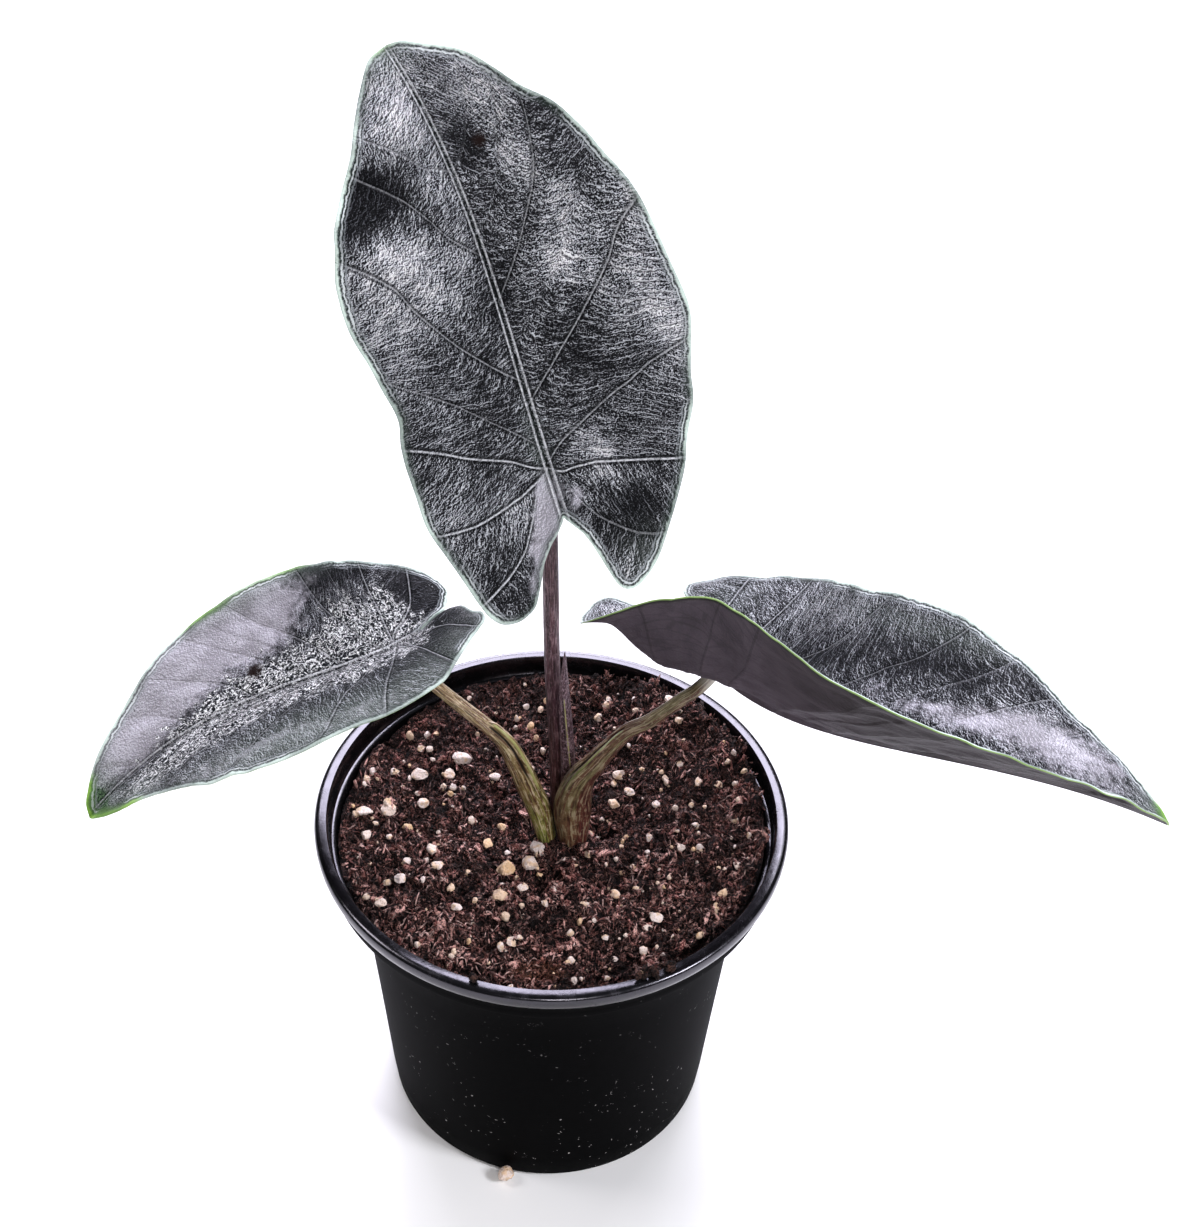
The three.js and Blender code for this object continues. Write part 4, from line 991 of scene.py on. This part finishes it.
def wall_look():
    """Moulded black plastic of the wall: dull, with faint rings, scuffs and dust near the foot."""
    look = Looks("pot_wall")
    fit = look.fit
    place = look.place()
    z = look.axes(place)[2]
    scuffs = look.noise(place, 0.12, 4.0, 0.65)
    rings = look.noise(look.join(0.0, 0.0, z), 1.6)
    dust = look.cells(look.warp(place, 0.6, 2.6), 0.36)
    strands = look.cells(look.warp(place, 0.9, 5.0), 0.3)
    clouds = look.noise(place, 0.06)
    specks = fit(dust, 0.05, 0.12, 1.0, 0.0) * fit(clouds, 0.44, 0.56)
    specks = specks + fit(strands, 0.05, 0.1, 1.0, 0.0) * fit(clouds, 0.5, 0.6)
    look.colour = look.mix(fit(scuffs, 0.45, 0.75) * 0.3, (0.0015, 0.0015, 0.0018), (0.003, 0.003, 0.0035))
    look.paint(specks * fit(z, 8.0, 74.0, 1.0, 0.12), (0.55, 0.53, 0.52))
    return look.finish(rings * 0.02 + look.noise(place, 2.5) * 0.02, Roughness=0.6, Specular_IOR_Level=0.035)


def rim_look():
    """Moulded black plastic of the rim and the inside: shiny, with fine scratches."""
    look = Looks("pot_rim")
    place = look.place()
    scuffs = look.noise(place, 0.3, 4.0, 0.65)
    look.colour = look.mix(look.fit(scuffs, 0.5, 0.75) * 0.6, (0.005, 0.005, 0.006), (0.016, 0.016, 0.019))
    return look.finish(look.noise(place, 1.8) * 0.012 + scuffs * 0.04, Specular_IOR_Level=0.95,
                       Roughness=look.fit(scuffs, 0.35, 0.7, 0.19, 0.29), Specular_Tint=(0.93, 0.9, 1.0, 1))


def apply_modifiers(piece):
    """Puts the result of a piece's modifiers into its mesh."""
    graph = bpy.context.evaluated_depsgraph_get()
    made = bpy.data.meshes.new_from_object(piece.evaluated_get(graph))
    piece.modifiers.clear()
    piece.data = made


def sharpen(piece, degrees):
    """Smooth shading with sharp edges where faces meet at more than the given angle."""
    piece.data.shade_smooth()
    piece.data.set_sharp_from_angle(angle=math.radians(degrees))


def make_pot():
    points, faces = turned_body([*POT_OUTSIDE, *POT_INSIDE], POT_SEGMENTS)
    piece = mesh_object("pot", points, [face[:1] + face[:0:-1] for face in faces])
    cutters = []
    for i in range(DRAIN["holes"]):
        turn = 2 * math.pi * (i + 0.5) / DRAIN["holes"]
        x, y = DRAIN["circle"] * math.cos(turn), DRAIN["circle"] * math.sin(turn)
        bpy.ops.mesh.primitive_cylinder_add(
            vertices=32, radius=DRAIN["radius"] * MM, depth=6 * WALL * MM, location=(x * MM, y * MM, 0))
        cutters.append(bpy.context.object)
    for cutter in cutters:
        cut = piece.modifiers.new("drain", "BOOLEAN")
        cut.operation, cut.solver, cut.object = "DIFFERENCE", "EXACT", cutter
    apply_modifiers(piece)
    for cutter in cutters:
        bpy.data.objects.remove(cutter)
    sharpen(piece, POT_SHARP)
    settle(piece, ["nursery_pot"], [wall_look(), rim_look()])
    shiny = []
    for face in piece.data.polygons:
        faces_in = face.normal.x * face.center.x + face.normal.y * face.center.y < 0
        shiny.append(int(face.center.z > (WALL if faces_in else SHINY_ABOVE) * MM))
    piece.data.polygons.foreach_set("material_index", shiny)


def mix_level(x, y):
    """Height of the mix without its crumbs."""
    hollow = MIX_HOLLOW["depth"] * np.exp(-(x * x + y * y) / MIX_HOLLOW["spread"])
    level = MIX_LEVEL + MIX_RISE[0] * x + MIX_RISE[1] * y - hollow
    return level + sum(height * np.sin(a * x + b * y + c) for height, a, b, c in MIX_WAVES)


def mix_base(x, y):
    """Height of the mix with the bank and the pit, without lumps."""
    px, py = MIX_PIT["place"]
    pit = MIX_PIT["depth"] * np.exp(-((x - px)**2 + (y - py)**2) / MIX_PIT["radius"]**2)
    (bx, by), (deep, wide) = MIX_BANK["place"], MIX_BANK["spread"]
    away = math.hypot(bx, by)
    outward, beside = (x * bx + y * by) / away - away, (x * by - y * bx) / away
    bank = MIX_BANK["height"] * np.exp(-(outward / deep)**2 - (beside / wide)**4)
    around = 0.5 + 0.5 * np.cos(np.arctan2(y, x) - math.radians(MIX_EDGE["middle"]))
    edge = MIX_EDGE["height"] * around * np.exp(-((MIX_RADIUS - np.hypot(x, y)) / MIX_EDGE["reach"])**2)
    return mix_level(x, y) + bank + edge - pit


def swellings(x, y, table):
    """Noise for each height, width and seed in a table."""
    return [height * lattice_noise(x / width, y / width, seed) for height, width, seed in table]


def mix_surface(x, y):
    """Height of the mix with its lumps."""
    lumps = sum(np.abs(height) for height in swellings(x, y, MIX_LUMPS))
    fine, broad = swellings(x, y, MIX_SWELLS)
    return mix_base(x, y) + lumps + fine - MIX_LOWERED + broad


def mix_tone(x, y, level, own):
    """Crumb tone from its own one: painted light on lumps, painted shade in hollows, paler to the front."""
    return np.clip(own + 0.25 * float(level - mix_base(x, y)) - MIX_PALER * y, 0, 1)


def crumb_look(name, shades, roughness, veil=1.0):
    """Damp crumbs or fibres: each one's own tone between the shades, with dark specks and patches.

    The dark specks are painted shade of the gaps between crumbs.
    """
    look = Looks(name)
    fit, paint = look.fit, look.paint
    place = look.place()
    offsets = zip(look.axes(place), MIX_EMBER["place"], MIX_EMBER["reach"])
    dx, dy = ((value - middle) * (1 / reach) for value, middle, reach in offsets)
    ember = fit(dx * dx + dy * dy, 0.2, 1.2, 1.0, 0.0)
    grain = look.noise(look.warp(place, 0.8, 1.2), 2.6, 2.0, 0.65)
    clods = look.noise(place, 0.42, 3.0, 0.65)
    patch = look.noise(place, 0.12, 3.0, 0.6)
    tone = look.value("tone") + fit(patch, 0.36, 0.62, -0.22, 0.12)
    look.colour = look.mix(fit(tone, 0.34, 0.6), shades[0], shades[1])
    paint(fit(tone, 0.68, 0.8), shades[2])
    paint(fit(grain, 0.5, 0.56) * (0.7 * veil), shades[3])
    # Near-black specks: painted shade of the gaps between crumbs, weaker on the fibres that lie on top
    paint(fit(grain, 0.4, 0.46, 0.9 * veil, 0.0), (0.0012, 0.0006, 0.0006))
    paint(fit(clods, 0.42, 0.48, 0.9 * veil, 0.0), (0.0012, 0.0006, 0.0006))
    paint(fit(patch, 0.38, 0.48, 0.5, 0.0), (0.003, 0.0012, 0.0012))
    paint(ember * fit(grain, 0.46, 0.54, 0.0, 0.45), (0.4, 0.17, 0.1))
    return look.finish(grain, Roughness=roughness, Specular_IOR_Level=0.3)


def make_mix():
    radii = MIX_RADIUS * np.linspace(0, 1, MIX_RINGS) ** 0.8
    points, faces = turned_body([*((r, 0) for r in radii), *MIX_WALL], MIX_SEGMENTS)
    top = points[:1 + (MIX_RINGS - 1) * MIX_SEGMENTS]
    top[:, 2] = mix_surface(top[:, 0], top[:, 1])
    spread = layered_noise(points[:, 0] / 2.2, points[:, 1] / 2.2, SEEDS["bed_tone"])
    piece = mesh_object("mix_bed", points, faces, {"tone": np.clip(0.3 + 0.35 * spread, 0, 1)})
    settle(piece, ["potting_mix"], [crumb_look("mix_bed", BED_SHADES, 0.5)])


def turn_matrix(rng):
    """A turn in any direction."""
    axis = Vector(rng.normal(size=3)).normalized()
    return np.array(Matrix.Rotation(rng.uniform(0, 2 * math.pi), 3, axis))


def scatter_places(rng, count, radius):
    """Places spread evenly over the mix, away from the stems."""
    places = []
    while len(places) < count:
        r, a = radius * math.sqrt(rng.uniform()), rng.uniform(0, 2 * math.pi)
        x, y = r * math.cos(a), r * math.sin(a)
        if math.dist((x, y), STEM_CLEARING["place"]) > STEM_CLEARING["radius"]:
            places.append((x, y))
    return places


def make_crumbs():
    rng = np.random.default_rng(SEEDS["crumbs"])
    unit, faces = ball(3, 5)
    heap = Heap()
    for x, y in scatter_places(rng, CRUMBS, MIX_RADIUS + 0.9):
        level = float(mix_surface(x, y))
        if math.hypot(x, y) > MIX_RADIUS - 0.8 and level < EDGE_CRUMBS_ABOVE:
            continue
        size = 0.38 + 1.0 * rng.uniform() ** 2.2
        stretch = size * rng.uniform((0.22, 0.3, 0.9), (0.6, 0.8, 2.1))
        lump = unit * rng.uniform(0.65, 1.3, (len(unit), 1)) * stretch @ turn_matrix(rng).T
        heap.add(lump + (x, y, level + 0.25 * size), faces, mix_tone(x, y, level, rng.uniform() ** 1.3))
    look = crumb_look("mix_crumb", CRUMB_SHADES, 0.42, 0.85)
    settle(heap.piece("mix_crumbs", False), [], [look])


def make_fibres():
    rng = np.random.default_rng(SEEDS["fibres"])
    steps, sides = 4, 3
    heap, faces, angle = Heap(), tube_faces(steps, sides), circle(sides)
    for x, y in scatter_places(rng, FIBRES, MIX_RADIUS - 1.5):
        curly = rng.uniform() < 0.035
        length = 2.5 + 5.0 * rng.uniform() ** 2 if curly else 1.0 + 2.8 * rng.uniform() ** 1.6
        thick = rng.uniform(0.08, 0.14) if curly else rng.uniform(0.12, 0.32)
        headings = rng.uniform(0, 2 * math.pi) + rng.normal(0, 0.5 if curly else 0.12) * np.arange(steps)
        cos, sin = np.cos(headings), np.sin(headings)
        xs, ys = x + np.cumsum(cos) * length / steps, y + np.cumsum(sin) * length / steps
        inside = np.minimum(1, (MIX_RADIUS - 0.6) / np.maximum(np.hypot(xs, ys), 1e-6))
        xs, ys = xs * inside, ys * inside
        arch = rng.uniform(0, 0.5) * np.sin(np.linspace(0, math.pi, steps))
        rise = rng.normal(0, 0.28) * length * np.linspace(-0.5, 0.5, steps)
        line = np.stack([xs, ys, mix_surface(xs, ys) + 0.35 + arch + rise], 1)
        across = np.stack([-sin, cos, 0 * headings], 1)
        radius = thick * np.array([[0.5], [1], [0.9], [0.4]])
        ring = line[:, None] + across[:, None] * (np.cos(angle) * radius)[..., None]
        ring = ring + np.array([0, 0, 1.0]) * (np.sin(angle) * radius)[..., None]
        tone = mix_tone(x, y, float(mix_surface(x, y)), rng.uniform() ** 1.2)
        heap.add(ring.reshape(-1, 3), faces, tone)
    look = crumb_look("mix_fibre", FIBRE_SHADES, 0.4, 0.5)
    settle(heap.piece("mix_fibres"), [], [look])


def perlite_look():
    """Porous off-white grain, tan where it is stained."""
    look = Looks("perlite")
    fit = look.fit
    place = look.place()
    pores = look.cells(place, 1.6)
    grain = look.noise(place, 1.8, 4.0, 0.7)
    look.colour = look.mix(look.value("tone"), (0.8, 0.69, 0.65), (0.74, 0.52, 0.34))
    look.paint(fit(look.noise(place, 0.45, 2.0, 0.6), 0.52, 0.62, 0.0, 0.6), (0.68, 0.45, 0.24))
    look.paint(fit(pores, 0.12, 0.3, 1.0, 0.0) * 0.45, (0.36, 0.25, 0.2))
    look.paint(fit(grain, 0.55, 0.75) * 0.5, (0.86, 0.82, 0.78))
    return look.finish(pores * 0.25 + grain * 0.25, Roughness=0.85, Subsurface_Weight=0.1,
                       Subsurface_Radius=(0.002, 0.0015, 0.001))


def knobbly(unit, seed):
    """A unit ball turned into an angular grain with pits."""
    rng = np.random.default_rng(seed)
    size = np.full(len(unit), 1.15)
    for _ in range(rng.integers(*GRAIN_CUTS)):
        way = rng.normal(size=3)
        facing = unit @ (way / np.linalg.norm(way))
        cut = rng.uniform(0.62, 0.95) / np.maximum(facing, 0.25)
        size = np.where(facing > 0.25, np.minimum(size, cut), size)
    for _ in range(GRAIN_PITS):
        way = rng.normal(size=3)
        facing = unit @ (way / np.linalg.norm(way))
        size += rng.uniform(-0.16, 0.12) * np.exp(-(1 - facing) / 0.06)
    size += 0.025 * rng.normal(size=len(unit))
    return unit * size[:, None]


def make_perlite():
    look = perlite_look()
    unit, faces = ball(14, 20)
    for number, node, low, high in boxes("perlite_grain"):
        shape = knobbly(unit, SEEDS["grains"] + number)
        shape = shape / np.abs(shape).max(0) * ((high - low) / 2) + (low + high) / 2
        if node != "perlite_grain_foot":
            shape = shape - (0, 0, GRAIN_SUNK)
        tan = TAN_GRAINS.get(number + 1, 0.12 * (number % 3))
        piece = mesh_object(f"grain_{number + 1:02d}", shape, faces, {"tone": np.full(len(unit), tan)})
        sharpen(piece, GRAIN_SHARP)
        settle(piece, [node], [look])
    rng = np.random.default_rng(SEEDS["specks"])
    unit, faces = ball(6, 8)
    heap = Heap()
    for number, (x, y) in enumerate(scatter_places(rng, SPECKS, MIX_RADIUS - 2)):
        size = 0.34 + 0.8 * rng.uniform() ** 1.5
        shape = knobbly(unit, SEEDS["speck_shapes"] + number) * size * rng.uniform(0.8, 1.25, 3)
        heap.add(shape + (x, y, float(mix_surface(x, y)) + 0.7 * size), faces, rng.uniform() ** 2)
    settle(heap.piece("perlite_specks", False), [], [look])


def make_clumps():
    """Crumbs of mix on the rim, each a heap of small lumps."""
    look = crumb_look("rim_crumb", RIM_CRUMB_SHADES, 0.65)
    unit, faces = ball(5, 7)
    for number, node, low, high in boxes("mix_clump"):
        rng = np.random.default_rng(SEEDS["clumps"] + number)
        heap = Heap()
        for _ in range(int(8 + 3 * (high - low)[:2].max())):
            size = rng.uniform(0.4, 0.9)
            place = rng.uniform(low + size * 0.6, np.maximum(high - size * 0.6, low + size * 0.7))
            place[2] = low[2] + size * rng.uniform(0.4, 1.5)
            shape = unit * rng.uniform(0.7, 1.2, (len(unit), 1)) * size @ turn_matrix(rng).T
            heap.add(shape + place, faces, rng.uniform())
        settle(heap.piece(f"rim_crumbs_{number + 1}"), [node], [look])


def make_camera():
    yaw, pitch, roll = (math.radians(CAMERA[key]) for key in ("yaw", "pitch", "roll"))
    ahead = Vector((math.sin(yaw) * math.cos(pitch), math.cos(yaw) * math.cos(pitch), -math.sin(pitch)))
    level = Vector((math.cos(yaw), -math.sin(yaw), 0))
    above = level.cross(ahead)
    right = level * math.cos(roll) + above * math.sin(roll)
    up = above * math.cos(roll) - level * math.sin(roll)
    data = bpy.data.cameras.new("camera")
    data.lens, data.sensor_width = CAMERA["lens"], CAMERA["long_side"]
    data.clip_start, data.clip_end = CAMERA["clip"]
    camera = bpy.data.objects.new("camera", data)
    turned = Matrix((right, up, -ahead)).transposed().to_4x4()
    camera.matrix_world = Matrix.Translation(Vector(CAMERA["place"]) * MM) @ turned
    bpy.context.collection.objects.link(camera)
    bpy.context.scene.camera = camera


def softbox(name, azimuth, elevation, size, radiance, colour):
    """Rectangular light that faces the plant. Azimuth 0 is the front and 90 the right."""
    a, e = math.radians(azimuth), math.radians(elevation)
    away = Vector((math.sin(a) * math.cos(e), -math.cos(a) * math.cos(e), math.sin(e)))
    data = bpy.data.lights.new(name, "AREA")
    data.shape, data.size, data.size_y = "RECTANGLE", size[0], size[1]
    data.energy, data.color = radiance * math.pi * size[0] * size[1], colour
    light = bpy.data.objects.new(name, data)
    light.location = Vector(LIGHT_TARGET) + away * LIGHT_DISTANCE
    light.rotation_mode = "QUATERNION"
    light.rotation_quaternion = away.to_track_quat("Z", "Y")
    bpy.context.collection.objects.link(light)


def make_stage():
    corners = [(x * FLOOR_REACH, y * FLOOR_REACH, 0) for x, y in ((-1, -1), (1, -1), (1, 1), (-1, 1))]
    floor = mesh_object("floor", corners, [(0, 1, 2, 3)])
    look = Looks("floor")
    look.colour = look.mix(look.noise(look.place(), 0.004), (0.9, 0.9, 0.9), (0.92, 0.92, 0.92))
    floor.data.materials.append(look.finish(Roughness=0.9, Specular_IOR_Level=0.1))
    world = bpy.data.worlds.new("studio")
    world.use_nodes = True
    background = world.node_tree.nodes["Background"]
    background.inputs["Color"].default_value = WORLD_COLOUR
    background.inputs["Strength"].default_value = WORLD_STRENGTH
    scene = bpy.context.scene
    scene.world = world
    for name, box in SOFTBOXES.items():
        softbox(name, *box)
    scene.view_settings.view_transform = "Standard"
    scene.view_settings.look = "Medium High Contrast"


make_camera()
make_stage()
make_pot()
make_mix()
make_crumbs()
make_fibres()
make_perlite()
make_clumps()
make_stems()
make_leaves()
